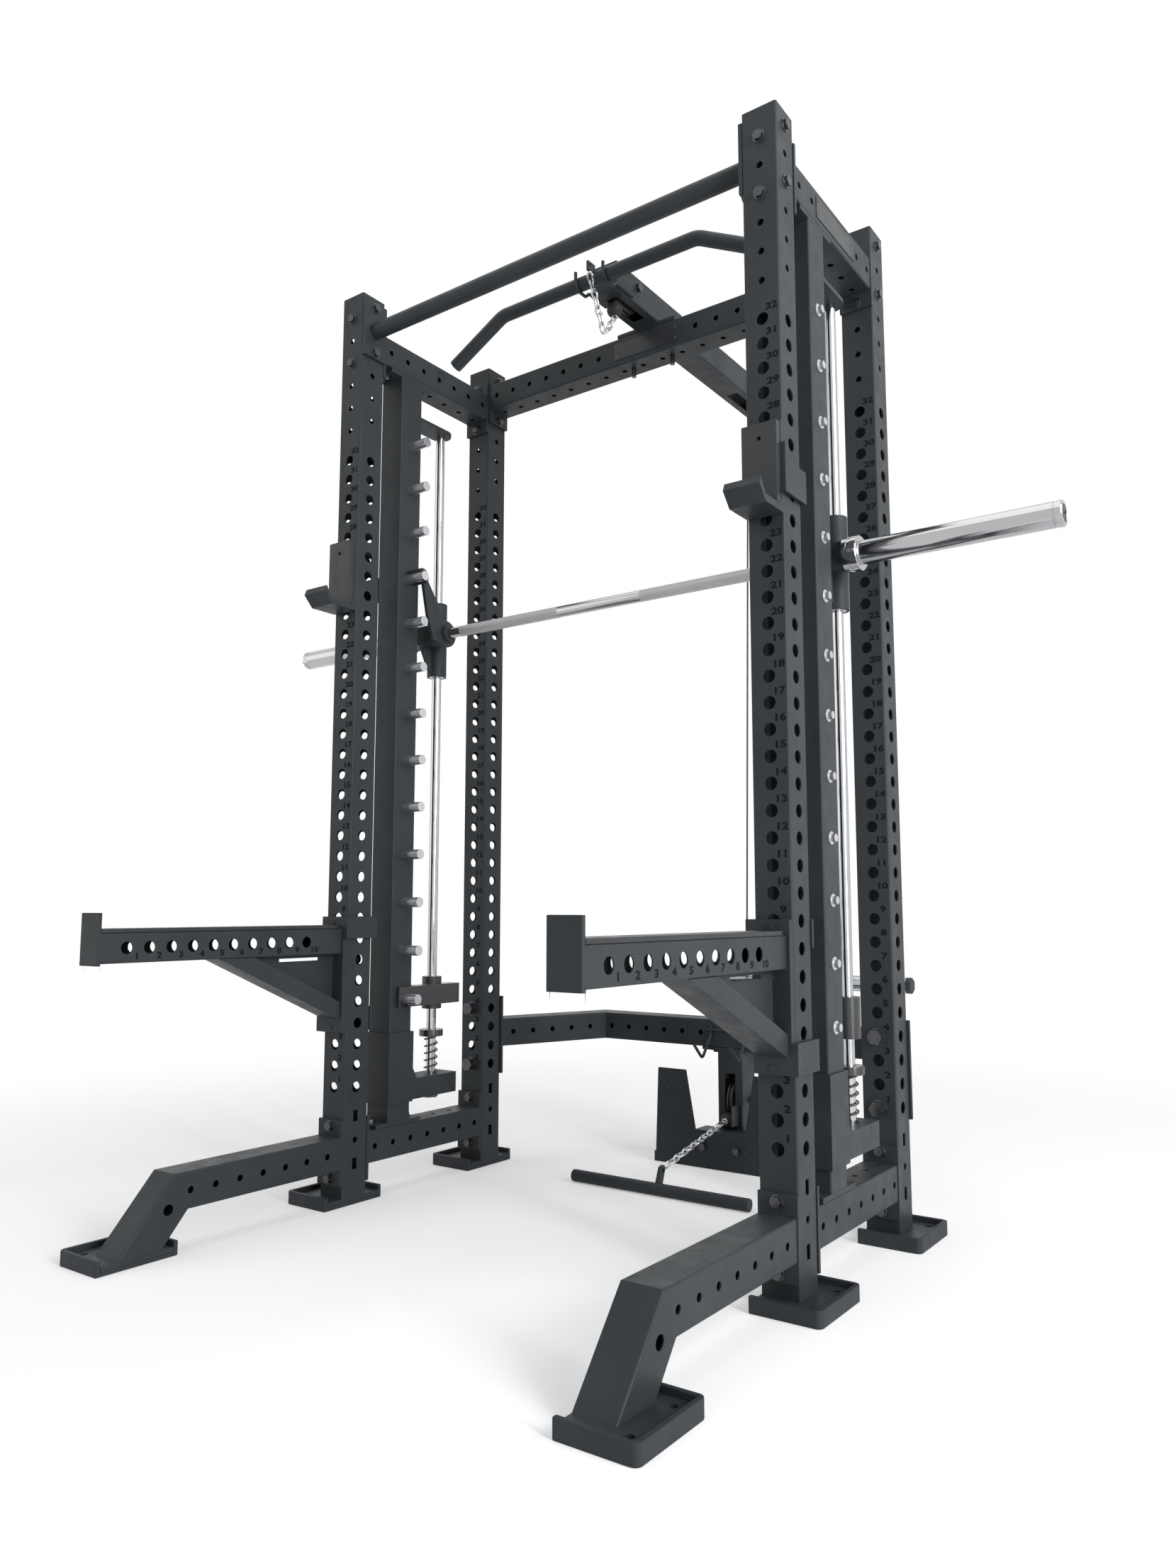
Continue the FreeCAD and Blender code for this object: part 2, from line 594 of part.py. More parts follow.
for side_name, side in SIDES:
    ys = ("slider_post_y - tube / 2", "slider_post_y + tube / 2")
    zs = (f"{BASE_Z} + slider_plate", f"{HEAD_Z} - slider_plate")
    outer = tube_box("slider post", "z", POST_XS, ys, zs, side)
    inner = box("slider bore", (f"{POST_IN} + tube_wall", f"{POST_OUT} - tube_wall"),
                (f"{ys[0]} + tube_wall", f"{ys[1]} - tube_wall"), zs, side)
    pegs = [rod("peg hole", "x", ("slider_post_y", z), (f"{POST_IN} - 5", f"{POST_OUT} + 5"),
                "peg + 2 * fit_gap", side) for z in peg_zs]
    slider_posts += [cut("slider post", outer, inner, pegs), tongues[side]]
    for ends in ((BASE_Z, zs[0]), (zs[1], HEAD_Z)):
        end_plate = box("slider plate", POST_XS, ("slider_post_y - slider_plate_half",
                                                  "slider_post_y + slider_plate_half"), ends, side)
        bolts = [rod("bolt hole", "z", ("post_x", y), (BASE_Z + " - 1", HEAD_Z + " + 1"),
                     "bolt_size + 2 * fit_gap", side) for y in SLIDER_BOLT_Y]
        slider_posts.append(cut("slider plate", end_plate, bolts))
node("slider_posts", group("slider posts", slider_posts))

pegs, screws = [], []
for side_name, side in SIDES:
    for z in peg_zs:
        pegs.append(rod("peg", "x", ("slider_post_y", z), (f"{POST_IN} - peg_reach", POST_OUT),
                        "peg", side))
        head = rod("screw", "x", ("slider_post_y", z),
                   (f"{POST_OUT} + 2", f"{POST_OUT} + 2 + peg_screw_high"), "peg_screw", side)
        washer = rod("washer", "x", ("slider_post_y", z), (POST_OUT, f"{POST_OUT} + 2"),
                     "peg_washer", side)
        screws.append(fuse("screw", [head, washer]))
node("hook_pegs", group("pegs", pegs + screws))

# ---- guide rods with their brackets
rods, nuts, rod_screws, brackets = [], [], [], []
for side_name, side in SIDES:
    at = ("post_x", "guide_y")
    rods.append(cut("guide", rod("guide", "z", at, ("guide_low", "guide_top"), "guide_rod", side),
                    [rod("tap", "z", at, ("guide_top - 20", "guide_top + 1"), "bolt_size", side)]))
    nuts.append(cut("nut", hexagon("nut", "z", at, ("guide_low", "shelf_low"), "guide_nut", side),
                    [rod("nut bore", "z", at, ("guide_low - 1", "shelf_low + 1"),
                         "guide_rod + 2 * slide_gap", side)]))
    shank = rod("rod screw", "z", at, ("guide_top - 18", "guide_top + tongue + 1"),
                "bolt_size - 2 * slide_gap", side)
    head = hexagon("rod screw", "z", at, ("guide_top + tongue", "guide_top + tongue + bolt_head_high"),
                   "bolt_head", side)
    rod_screws.append(fuse("rod screw", [shank, head]))
    wrap = box("wrap", (f"{POST_IN} - bracket_wall", f"{POST_OUT} + bracket_wall"),
               ("slider_post_y - tube / 2 - bracket_wall", "slider_post_y + tube / 2 + bracket_wall"),
               ("bracket_low", "bracket_top"), side)
    shelf = box("shelf", POST_XS, ("slider_post_y + tube / 2", "shelf_end"),
                ("shelf_low", "shelf_top"), side)
    web = profile("shelf web", "yz",
                  [("slider_post_y + tube / 2 + bracket_wall", "shelf_top"),
                   ("slider_post_y + tube / 2 + bracket_wall + 20", "shelf_top"),
                   ("slider_post_y + tube / 2 + bracket_wall", "shelf_gusset")],
                  (POST_IN, POST_OUT), side)
    hollow = box("shelf bore", (f"{POST_IN} + bracket_wall", f"{POST_OUT} - bracket_wall"),
                 ("slider_post_y + tube / 2 + 2 * bracket_wall", "shelf_end - bracket_wall"),
                 ("shelf_low + bracket_wall", "shelf_top - bracket_wall"), side)
    opening = box("wrap bore", (f"{POST_IN} - fit_gap", f"{POST_OUT} + fit_gap"),
                  ("slider_post_y - tube / 2 - fit_gap", "slider_post_y + tube / 2 + fit_gap"),
                  ("bracket_low - 1", "bracket_top + 1"), side)
    bore = rod("shelf hole", "z", at, ("shelf_low - 1", "shelf_top + 1"),
               "guide_rod + 2 * slide_gap", side)
    brackets.append(cut("bracket", fuse("bracket", [wrap, shelf, web]), opening, hollow, bore))
node("rod_brackets", group("brackets", brackets))
node("guide_rods", group("rods", rods))

# ---- bumper springs and discs, lower stops
RING = "guide_rod + 2 * slide_gap"
for side_name, side in SIDES:
    at = ("post_x", "guide_y")
    disc = rod("disc", "z", at, ("disc_low", "disc_low + disc_high"), "disc_size", side)
    node(f"bumper_disc_{side_name}",
         cut("disc", disc, rod("disc bore", "z", at, ("disc_low - 1", "disc_low + disc_high + 1"),
                               RING, side)))
    coil = make("Part::Helix", "coil")
    bind(coil, Radius="(guide_rod + spring_room - spring_wire) / 2",
         Pitch="(disc_low - shelf_top - spring_wire) / spring_turns",
         Height="disc_low - shelf_top - spring_wire")
    place(coil, f"{side} * post_x", "guide_y", "shelf_top + spring_wire / 2")
    ring = make("Part::Circle", "coil section")
    ring.Placement = FreeCAD.Placement(Vector(), TURNS["y"])
    bind(ring, Radius="spring_wire / 2 - fit_gap")
    place(ring, f"{side} * post_x + (guide_rod + spring_room - spring_wire) / 2", "guide_y",
          "shelf_top + spring_wire / 2")
    sweep = make("Part::Sweep", "spring")
    sweep.Sections = [ring]
    sweep.Spine = (coil, ["Edge1"])
    sweep.Solid = True
    sweep.Frenet = True
    node(f"bumper_spring_{side_name}", sweep)
    sleeve = rod("stop", "z", at, ("stop_low", "stop_top"), "stop_sleeve", side)
    zs = ("stop_block_low", "stop_block_top")
    cheek = box("stop cheek", ("post_x - stop_inner", "post_x - stop_inner + stop_plate"),
                ("stop_front", "stop_back"), zs, side)
    block = box("stop block", ("post_x - stop_inner + stop_plate", "post_x - stop_sleeve / 4"),
                ("slider_post_y + tube / 2 + 15", "stop_back"), zs, side)
    notch_round = rod("notch", "x", ("slider_post_y", "peg_first"),
                      ("post_x - stop_inner - 1", "post_x - stop_inner + stop_plate + 1"),
                      "peg + 2 * notch_gap", side)
    notch_low = box("notch", ("post_x - stop_inner - 1", "post_x - stop_inner + stop_plate + 1"),
                    ("slider_post_y - peg / 2 - notch_gap", "slider_post_y + peg / 2 + notch_gap"),
                    ("stop_block_low - 1", "peg_first"), side)
    node(f"stop_block_{side_name}",
         cut("stop", fuse("stop", [sleeve, cheek, block]), [notch_round, notch_low],
             rod("stop bore", "z", at, ("stop_low - 1", "stop_top + 1"), RING, side)))

# ---- bar carriage
HOUSING = ("post_x - housing_in", "post_x + housing_out")
COLLAR_AT = "post_x + collar_start"
SLEEVE_AT = "post_x + sleeve_start"
HOOK_AT = "post_x - hook_in"
DRUM = ("post_x - drum_in", "post_x - drum_out")
bearings, sliders = [], []
for side_name, side in SIDES:
    at = ("post_x", "guide_y")
    sleeve = rod("slider", "z", at, ("slider_low", "slider_top"), "slider_size", side)
    housing = box("housing", HOUSING, ("bar_y - housing / 2", "bar_y + housing / 2"),
                  ("bar_z - housing / 2", "bar_z + housing / 2"), side)
    web = profile("slider web", "yz",
                  [("bar_y - housing / 2 + 10", "bar_z - housing / 2"),
                   ("guide_y - slider_size / 2 + 3", "bar_z - housing / 2"),
                   ("guide_y - slider_size / 2 + 3", "slider_low + 12"),
                   ("guide_y - slider_size / 2 - 6", "slider_low + 12")],
                  ("post_x - 4", "post_x + 4"), side)
    joined = fuse("slider", [sleeve, housing, web])
    sliders.append(cut("slider", joined,
                       rod("slider bore", "z", at, ("slider_low - 1", "slider_top + 1"),
                           "bearing_size", side),
                       rod("housing bore", "x", ("bar_y", "bar_z"),
                           (f"{HOUSING[0]} - 1", f"{HOUSING[1]} + 1"), "bar_size + 2 * slide_gap", side)))
    for ends in (("slider_low", "slider_low + bearing_long"),
                 ("slider_top - bearing_long", "slider_top")):
        bush = rod("bearing", "z", at, ends, "bearing_size - 2 * slide_gap", side)
        bearings.append(cut("bearing", bush, rod("bearing bore", "z", at,
                                                 (f"{ends[0]} - 1", f"{ends[1]} + 1"), RING, side)))
node("sliders", group("sliders", sliders))
node("slider_bearings", group("bearings", bearings))

AXIS = ("bar_y", "bar_z")
node("smith_bar_shaft", rod("shaft", "x", AXIS, (f"-({SLEEVE_AT}) - 60", f"{SLEEVE_AT} + 60"),
                             "bar_size"))
sleeves, hook_bolts, hooks = [], [], []
for side_name, side in SIDES:
    tube_part = rod("sleeve", "x", AXIS, (SLEEVE_AT, "post_x + sleeve_end"), "sleeve_size", side)
    collar = rod("collar", "x", AXIS, (COLLAR_AT, SLEEVE_AT), "collar_size", side)
    sleeves.append(cut("sleeve", fuse("sleeve", [tube_part, collar]),
                       rod("sleeve bore", "x", AXIS, (f"{COLLAR_AT} - 1", f"{SLEEVE_AT} + 62"),
                           "bar_size + 2 * slide_gap", side)))
    flange = rod("flange", "x", AXIS, (f"{HOOK_AT} - 14", f"{HOOK_AT} + 1"), "flange_size", side)
    span = (HOOK_AT, f"{HOOK_AT} + hook_plate")
    hub = rod("hub", "x", AXIS, span, "2 * hook_hub", side)
    blade = profile("blade", "yz",
                    [("slider_post_y + 8.5", "hook_peg_z - 10"), ("slider_post_y + 21", "hook_peg_z + 1"),
                     ("slider_post_y + 61.5", "hook_peg_z - 53"), ("bar_y - 12", "bar_z + 32"),
                     ("bar_y", "bar_z"), ("bar_y - 22", "bar_z - 27"), ("bar_y - 51", "bar_z - 24"),
                     ("slider_post_y + 35.5", "bar_z + 12"), ("slider_post_y + 27.5", "bar_z + 37")],
                    span, side)
    drum = rod("drum", "x", ("slider_post_y", "hook_peg_z"), DRUM, "drum_size", side)
    mouth = profile("mouth", "yz",
                    [("slider_post_y", "hook_peg_z"), ("slider_post_y - 24", "hook_peg_z + 32"),
                     ("slider_post_y - 60", "hook_peg_z + 32"), ("slider_post_y - 60", "hook_peg_z - 60"),
                     ("slider_post_y + 50", "hook_peg_z - 60")], (f"{DRUM[0]} - 1", f"{DRUM[1]} + 1"), side)
    shell = cut("drum", drum, mouth)
    joined = fuse("hook", [hub, blade, shell, flange])
    peg_room = rod("peg room", "x", ("slider_post_y", "hook_peg_z"), (f"{DRUM[0]} - 2", f"{DRUM[1]} + 2"),
                   "peg + 2 * drum_gap", side)
    hooks.append(cut("hook", joined, peg_room,
                     rod("hook bore", "x", AXIS, (f"{HOOK_AT} - 15", f"{HOOK_AT} + hook_plate + 1"),
                         "bar_size + 2 * slide_gap", side)))
    spot = ("bar_y - 37", "bar_z + 44")
    hook_bolts.append(rod("hook bolt", "x", spot, (span[1], f"{span[1]} + 8"),
                     "hook_bolt", side))
node("bar_sleeves", group("sleeves", sleeves))
node("hooks", group("hooks", hooks))
node("hook_bolts", group("hook bolts", hook_bolts))

# ---- bar cups
FRONT = "-tube / 2 - post_gap"
BACK = "tube / 2 + post_gap"
for side_name, side in SIDES:
    cup = profile("cup", "yz",
                  [(FRONT, "cup_low"), ("-112", "cup_low"), ("-cup_nose", "cup_low + 27.5"),
                   ("-cup_nose + 6", "cup_low + 42.5"), ("-119", "cup_low + 22.5"),
                   ("-112", "cup_low + 11.5"), ("-62", "cup_low + 11.5"),
                   (f"{FRONT} - cup_plate", "cup_low + 24"), (f"{FRONT} - cup_plate", "cup_top"),
                   (FRONT, "cup_top")], POST_XS, side)
    strap = box("strap", (f"{POST_OUT} + 2", f"{POST_OUT} + 2 + cup_strap"),
                (f"{FRONT} - cup_plate", f"{BACK} + cup_strap"), ("cup_strap_low", "cup_strap_top"), side)
    bridge = box("strap", (f"{POST_OUT} - 10", f"{POST_OUT} + 3"), (f"{FRONT} - cup_plate", FRONT),
                 ("cup_strap_low", "cup_strap_top"), side)
    tab = box("strap", (POST_IN, f"{POST_OUT} + 3"), (BACK, f"{BACK} + cup_strap"),
              ("cup_strap_low", "cup_strap_top"), side)
    rise = box("strap", (f"{POST_OUT} + 2", f"{POST_OUT} + 2 + cup_strap"),
               (f"{FRONT} - cup_plate", FRONT), ("cup_strap_top", "cup_strap_top + 33"), side)
    rise_bridge = box("strap", (f"{POST_OUT} - 10", f"{POST_OUT} + 3"), (f"{FRONT} - cup_plate", FRONT),
                      ("cup_strap_top", "cup_strap_top + 33"), side)
    hole = rod("cup hole", "y", ("post_x", "cup_pin_z"), ("-62.5", FRONT),
               "cup_key", side)
    shank = rod("cup pin", "y", ("post_x", "cup_pin_z"), (f"{FRONT} - 1", "tube / 2 - 8"),
                "peg_hole - 2 * arm_pin_gap", side)
    node(f"cup_{side_name}", fuse("cup", [cup, strap, bridge, tab, rise, rise_bridge, shank]))
    pad_part = profile("cup liner", "yz",
                       [(f"{FRONT} - cup_plate", "cup_low + 24"), ("-62", "cup_low + 11.5"),
                        ("-62", "cup_top - 5"), (f"{FRONT} - cup_plate", "cup_top - 5")],
                       (f"{POST_IN} + 1", f"{POST_OUT} - 1"), side)
    tray = profile("cup tray", "yz",
                   [("-62", "cup_low + 11.5"), ("-112", "cup_low + 11.5"), ("-119", "cup_low + 22.5"),
                    ("-115.5", "cup_low + 24.5"), ("-110", "cup_low + 15.5"), ("-62", "cup_low + 15.5")],
                   (f"{POST_IN} + 1", f"{POST_OUT} - 1"), side)
    node(f"cup_liner_{side_name}", cut("cup liner", fuse("cup liner", [pad_part, tray]), hole))

# ---- safety arms
ARM_XS = ("post_x - arm_tube / 2", "post_x + arm_tube / 2")
ARM_BACK = "-arm_back"
hole_y = [f"-arm_hole_first + {k} * hole_pitch" for k in range(int(V["arm_hole_count"]))]
for side_name, side in SIDES:
    ys = ("-arm_front + plate", ARM_BACK)
    zs = ("arm_z - arm_tube / 2", "arm_z + arm_tube / 2")
    outer = tube_box("arm", "y", ARM_XS, ys, zs, side)
    inner = box("arm bore", (f"{ARM_XS[0]} + tube_wall", f"{ARM_XS[1]} - tube_wall"), ys,
                (f"{zs[0]} + tube_wall", f"{zs[1]} - tube_wall"), side)
    holes = [rod("arm hole", "x", (y, "arm_z"), (f"{ARM_XS[0]} - 5", f"{ARM_XS[1]} + 5"), "peg_hole", side)
             for y in hole_y]
    main = cut("arm", outer, inner, holes)
    nose = box("arm nose", ARM_XS, ("-arm_front", "-arm_front + plate"),
               ("arm_end_low", "arm_end_low + arm_end_high"), side)
    brace = profile("brace", "yz", [("-390", zs[0]), ("-297", zs[0]), (ARM_BACK, "473"),
                                    (ARM_BACK, "431")], ARM_XS, side)
    brace_bore = profile("brace bore", "yz",
                         [("-382", zs[0]), ("-304", zs[0]), (ARM_BACK, "469.7"), (ARM_BACK, "434.3")],
                         (f"{ARM_XS[0]} + tube_wall", f"{ARM_XS[1]} - tube_wall"), side)
    web = profile("arm web", "yz", [("-297", zs[0]), (ARM_BACK, zs[0]), (ARM_BACK, "473")],
                  ("post_x - 2.5", "post_x + 2.5"), side)
    web_slit = box("web slit", ("post_x - 4", "post_x + 4"), ("-210", "-95"),
                   (f"{zs[0]} - 14", f"{zs[0]} - 7"), side)
    back_plate = box("arm plate", POST_XS, (ARM_BACK, FRONT), ("arm_low", "arm_top"), side)
    in_x = "post_x - arm_inner"
    out_x = "post_x + arm_outer"
    upper = [box("arm strap", (in_x, POST_IN), (ARM_BACK, FRONT), ("arm_top - 52", "arm_top"), side),
             box("arm strap", (in_x, f"{in_x} + arm_strap"), (ARM_BACK, f"{BACK} + cup_strap"),
                 ("arm_top - 52", "arm_top"), side),
             box("arm strap", (in_x, f"{POST_OUT} + 3"), (BACK, f"{BACK} + cup_strap"),
                 ("arm_top - 52", "arm_top"), side)]
    lower = [box("arm strap", (POST_OUT, out_x), (ARM_BACK, FRONT), ("arm_low", "arm_low + 57"), side),
             box("arm strap", (f"{POST_OUT} + 2", f"{POST_OUT} + 2 + cup_strap"),
                 (ARM_BACK, f"{BACK} + cup_strap"), ("arm_low", "arm_low + 57"), side),
             box("arm strap", (POST_IN, f"{POST_OUT} + 3"), (BACK, f"{BACK} + cup_strap"),
                 ("arm_low", "arm_low + 57"), side)]
    brace_shell = cut("brace", brace, brace_bore)
    web_part = cut("arm web", web, web_slit)
    shank = rod("arm pin", "y", ("post_x", "arm_pin_z"), (f"{FRONT} - 1", "tube / 2 - 8"),
                "peg_hole - 2 * arm_pin_gap", side)
    heads = [rod("arm screw", "y", ("post_x", z), (f"{ARM_BACK} - 3", f"{ARM_BACK} + 1"), "bolt_size", side)
             for z in ("arm_top - 15", "arm_pin_z", "arm_low + 12")]
    pieces = [main, nose, brace_shell, web_part, back_plate, shank] + heads
    node(f"arm_{side_name}", fuse("arm", pieces + upper + lower))
    node(f"arm_liner_{side_name}", box("arm liner", ARM_XS, ("-arm_front + plate + 1", "-arm_back - 10"),
                                       (zs[1], f"{zs[1]} + arm_liner"), side))

# ---- rear frame
REAR_Y0 = "bay_depth + tube / 2 + plate"
SLOPE = f"((post_x - rear_half) / (rear_y - {REAR_Y0}))"
REAR_ZS = ("rear_z - tube / 2", "rear_z + tube / 2")
rear_start = V["bay_depth"] + V["tube"] / 2 + V["plate"]
lean = (V["post_x"] - V["rear_half"]) / (V["rear_y"] - rear_start)
half_path = [(V["post_x"] + 60 * lean, rear_start - 60, V["rear_z"]),
             (V["rear_half"], V["rear_y"], V["rear_z"])]
shell = mitred("rear", half_path + [(-x, y, z) for x, y, z in reversed(half_path)])
before = box("rear trim", ("-post_x - 200", "post_x + 200"), (f"{REAR_Y0} - 200", REAR_Y0),
             ("rear_z - tube", "rear_z + tube"))
shell = cut("rear", shell, before)
front_x = [f"{sign} * (bolt_pitch / 2 + {k} * bolt_pitch)" for k in range(1, 7) for sign in (-1, 1)]
face_holes = [rod("hole", "y", (x, "rear_z"), ("rear_y - tube", "rear_y + tube"), "bolt_hole")
              for x in front_x]
arm_holes = []
for side_name, side in SIDES:
    for k in range(5):
        y = f"rear_y - tube / 2 - 50 - {k} * bolt_pitch"
        x = f"post_x - {SLOPE} * (rear_y - tube / 2 - 50 - {k} * bolt_pitch - {REAR_Y0}) - tube"
        arm_holes.append(rod("hole", "x", (y, "rear_z"), (x, f"{x} + tube - 10"), "bolt_hole", side))
shell = cut("rear", shell, face_holes, arm_holes)
flanges = []
for side_name, side in SIDES:
    flanges.append(box("rear flange", ("post_x - rear_plate_half", "post_x + rear_plate_half"),
                       ("bay_depth + tube / 2", REAR_Y0), ("rear_plate_low", "rear_plate_top"), side))
joined = fuse("rear", [shell] + flanges)
big_z = ["hole_first", "hole_first + 3 * hole_pitch"]
long_y = ("bay_depth - tube", REAR_Y0 + " + 1")
rear_holes = []
for side_name, side in SIDES:
    rear_holes += through_y("rear bolt hole", "post_x", long_y, big_z, "rear_bolt + 2 * fit_gap", side)
cap_holes = [rod("rear cap hole", "z", (x, "rear_y"), (f"{REAR_ZS[0]} - 1", "rear_z"),
                 "bolt_size + 2 * fit_gap") for x in ("-beam_bolt", "beam_bolt")]
rear = cut("rear", joined, rear_holes, cap_holes)

REAR_FRONT = V["rear_y"] - V["tube"] / 2
wires = []
half_wire = V["cradle_wire"] / 2
for side in (-1, 1):
    wires.append(bent("cradle", [(V["cradle_x"], 762, 327), (V["cradle_x"], 805, 287),
                                 (V["cradle_x"], REAR_FRONT - half_wire, 345),
                                 (V["cradle_x"], REAR_FRONT - half_wire, 372)],
                      [10, 8], V["cradle_wire"], side))
rail = rod("cradle rail", "x", ("rear_y - tube / 2 - cradle_wire / 2", "360"),
           ("-cradle_x - 20", "cradle_x + 20"), "cradle_wire")
node("rear_frame", rear)
node("bar_cradle", fuse("cradle", [rail] + wires))

# ---- low pulley station
post_ys = ("rear_y - tube / 2", "rear_y + tube / 2")
LOW_TOP = "rear_z - tube / 2 - plate"
outer = tube_box("row post", "z", ("-tube / 2", "tube / 2"), post_ys, ("0", LOW_TOP))
inner = box("row post bore", ("-tube / 2 + tube_wall", "tube / 2 - tube_wall"),
            (f"{post_ys[0]} + tube_wall", f"{post_ys[1]} - tube_wall"), ("base_plate", LOW_TOP))
slot = box("row slot", ("-low_slot_half", "low_slot_half"), (f"{post_ys[0]} - 1", f"{post_ys[1]} + 1"),
           ("low_slot_from + 6", "low_slot_to"))
cap = box("row post cap", ("-beam_bolt - 25", "beam_bolt + 25"), post_ys, (LOW_TOP, "rear_z - tube / 2"))
axle_hole = rod("axle hole", "x", ("low_y", "low_z"), ("-tube", "tube"), "axle + 2 * slide_gap")
bolt_holes = [rod("cap hole", "z", (x, "rear_y"), (f"{LOW_TOP} - 1", "rear_z"),
                  "bolt_size + 2 * fit_gap") for x in ("-beam_bolt", "beam_bolt")]
row_post = cut("row post", fuse("row post", [cut("row post", outer, inner), cap]), slot,
               [axle_hole] + bolt_holes)
guard = box("guard", ("24", "28"), ("rear_y - tube / 2 - 42", "rear_y - tube / 2"), ("112", "165"))
guard_tab = box("guard", ("24", "37"), ("rear_y - tube / 2 - 3", "rear_y - tube / 2 + 1"), ("112", "165"))

FOOT_BACK = "foot_y + foot_thick"
tread = profile("tread", "xz",
                [("-foot_half_low", "1"), ("foot_half_low", "1"), ("foot_half_low", "28"),
                 ("foot_half_low - 5", "28"), ("foot_half_top", "foot_high"), ("foot_ear", "foot_high"),
                 ("foot_valley_half", "foot_valley"), ("-foot_valley_half", "foot_valley"),
                 ("-foot_ear", "foot_high"), ("-foot_half_top", "foot_high"),
                 ("-foot_half_low + 5", "28"), ("-foot_half_low", "28")], ("foot_y", FOOT_BACK))
shelf = box("tread shelf", ("-foot_valley_half", "foot_valley_half"), (FOOT_BACK, "rear_y - tube / 2"),
            ("foot_valley - foot_thick", "foot_valley"))
stud_x = ("-51", "51")
stud_holes = [rod("stud hole", "y", (x, "57"), ("foot_y - 1", "foot_y + 20"), "bolt_size + 2 * fit_gap")
              for x in stud_x]
node("foot_plate", cut("tread", fuse("tread", [tread, shelf]), stud_holes))
channel = box("foot bracket", ("-75", "75"), (FOOT_BACK, "rear_y - tube / 2 + 1"), ("30", "84"))
channel_bore = box("foot bracket bore", ("-70", "70"), (f"{FOOT_BACK} + 5", "rear_y - tube / 2 - 5"),
                   ("25", "90"))
bracket = cut("foot bracket", channel, channel_bore,
              [rod("stud hole", "y", (x, "57"), ("foot_y", "foot_y + 20"), "bolt_size + 2 * fit_gap")
               for x in stud_x])
node("low_row_post", fuse("row post", [row_post, guard, guard_tab, bracket]))

# ---- high pulley beam
BEAM_TOP = "beam_low + tube"
outer = tube_box("beam", "y", ("-tube / 2", "tube / 2"), ("beam_front", "beam_rear"),
                 ("beam_low", BEAM_TOP))
inner = box("beam bore", ("-tube / 2 + tube_wall", "tube / 2 - tube_wall"),
            ("beam_front + plate", "beam_rear - plate"), ("beam_low + tube_wall", f"{BEAM_TOP} - tube_wall"))
slots = [box("beam slot", ("-slot_half", "slot_half"), ("slot_front", "slot_front_end"),
             ("beam_low - 1", f"{BEAM_TOP} + 1")),
         box("beam slot", ("-slot_half", "slot_half"), ("slot_rear", "beam_rear - plate - 3"),
             ("beam_low - 1", f"{BEAM_TOP} - tube / 2")),
         box("beam slot", ("-slot_half", "slot_half"),
             ("riser_y - riser_groove - 15", "beam_rear - plate - 3"),
             (f"{BEAM_TOP} - tube / 2", f"{BEAM_TOP} + 1"))]
axles_at = [("front_y", "front_z"), ("back_y", "back_z"), ("riser_y", "riser_z")]
axle_holes = [rod("axle hole", "x", at, ("-tube", "tube"), "axle + 2 * slide_gap") for at in axles_at]
seat = box("beam seat", ("-beam_bolt - 28", "beam_bolt + 28"), cross_y, ("beam_low - beam_seat", "beam_low"))
seat_holes = [rod("seat hole", "z", (x, "bay_depth"), ("beam_low - beam_seat - 1", "beam_low + 1"),
                  "bolt_size + 2 * fit_gap") for x in ("-beam_bolt", "beam_bolt")]
joined = fuse("beam", [cut("beam", outer, inner, slots, axle_holes), seat])
high_beam = cut("beam", joined, seat_holes)

HOOK_Z = V["lat_bar_z"] - V["lat_bar"] / 2 - V["hook_wire"] / 2 - 0.4
HOOK_Y = V["lat_bar_y"] - V["lat_bar"] / 2 - V["hook_wire"] / 2 - 0.4
hooks = []
for side in (-1, 1):
    x = V["tube"] / 2 + V["hook_wire"] / 2 - 0.5
    hooks.append(bent("bar hook", [(x, 330, 2223), (x, 256, 2223), (x, 241, HOOK_Z),
                                   (x, HOOK_Y, HOOK_Z), (x, HOOK_Y, 2252)],
                      [9, 9, V["lat_bar"] / 2 + V["hook_wire"] / 2 + 0.4], V["hook_wire"], side))
node("high_beam", fuse("beam", [high_beam] + hooks))


# ---- pulleys and axles
def pulley(name, y, z, groove):
    """Grooved wheel; the groove's middle is where the cable's centre line runs."""
    rim = f"{groove} + pulley_rim"
    wheel = rod(name, "x", (y, z), ("-pulley_wide / 2", "pulley_wide / 2"), f"2 * ({rim})")
    lane = rod(name, "x", (y, z), ("-cable / 2 - cable_gap", "cable / 2 + cable_gap"), f"2 * ({rim}) + 2")
    core = rod(name, "x", (y, z), ("-cable", "cable"), f"2 * {groove}")
    ring = make("Part::Torus", name)
    ring.Placement = FreeCAD.Placement(Vector(), TURNS["x"])
    bind(ring, Radius1=groove, Radius2="cable / 2 + cable_gap")
    place(ring, "0", y, z)
    bore = rod(name, "x", (y, z), ("-pulley_wide", "pulley_wide"), "axle + 2 * slide_gap")
    lane_ring = cut(name, lane, core)
    return cut(name, wheel, lane_ring, ring, bore)


PULLEYS = (("pulley_front", "front_y", "front_z", "front_groove"),
           ("pulley_back", "back_y", "back_z", "back_groove"),
           ("pulley_riser", "riser_y", "riser_z", "riser_groove"),
           ("pulley_low", "low_y", "low_z", "low_groove"),
           ("pulley_float", "float_y", "float_z", "float_groove"))
for name, y, z, groove in PULLEYS:
    node(name, pulley(name, y, z, groove))


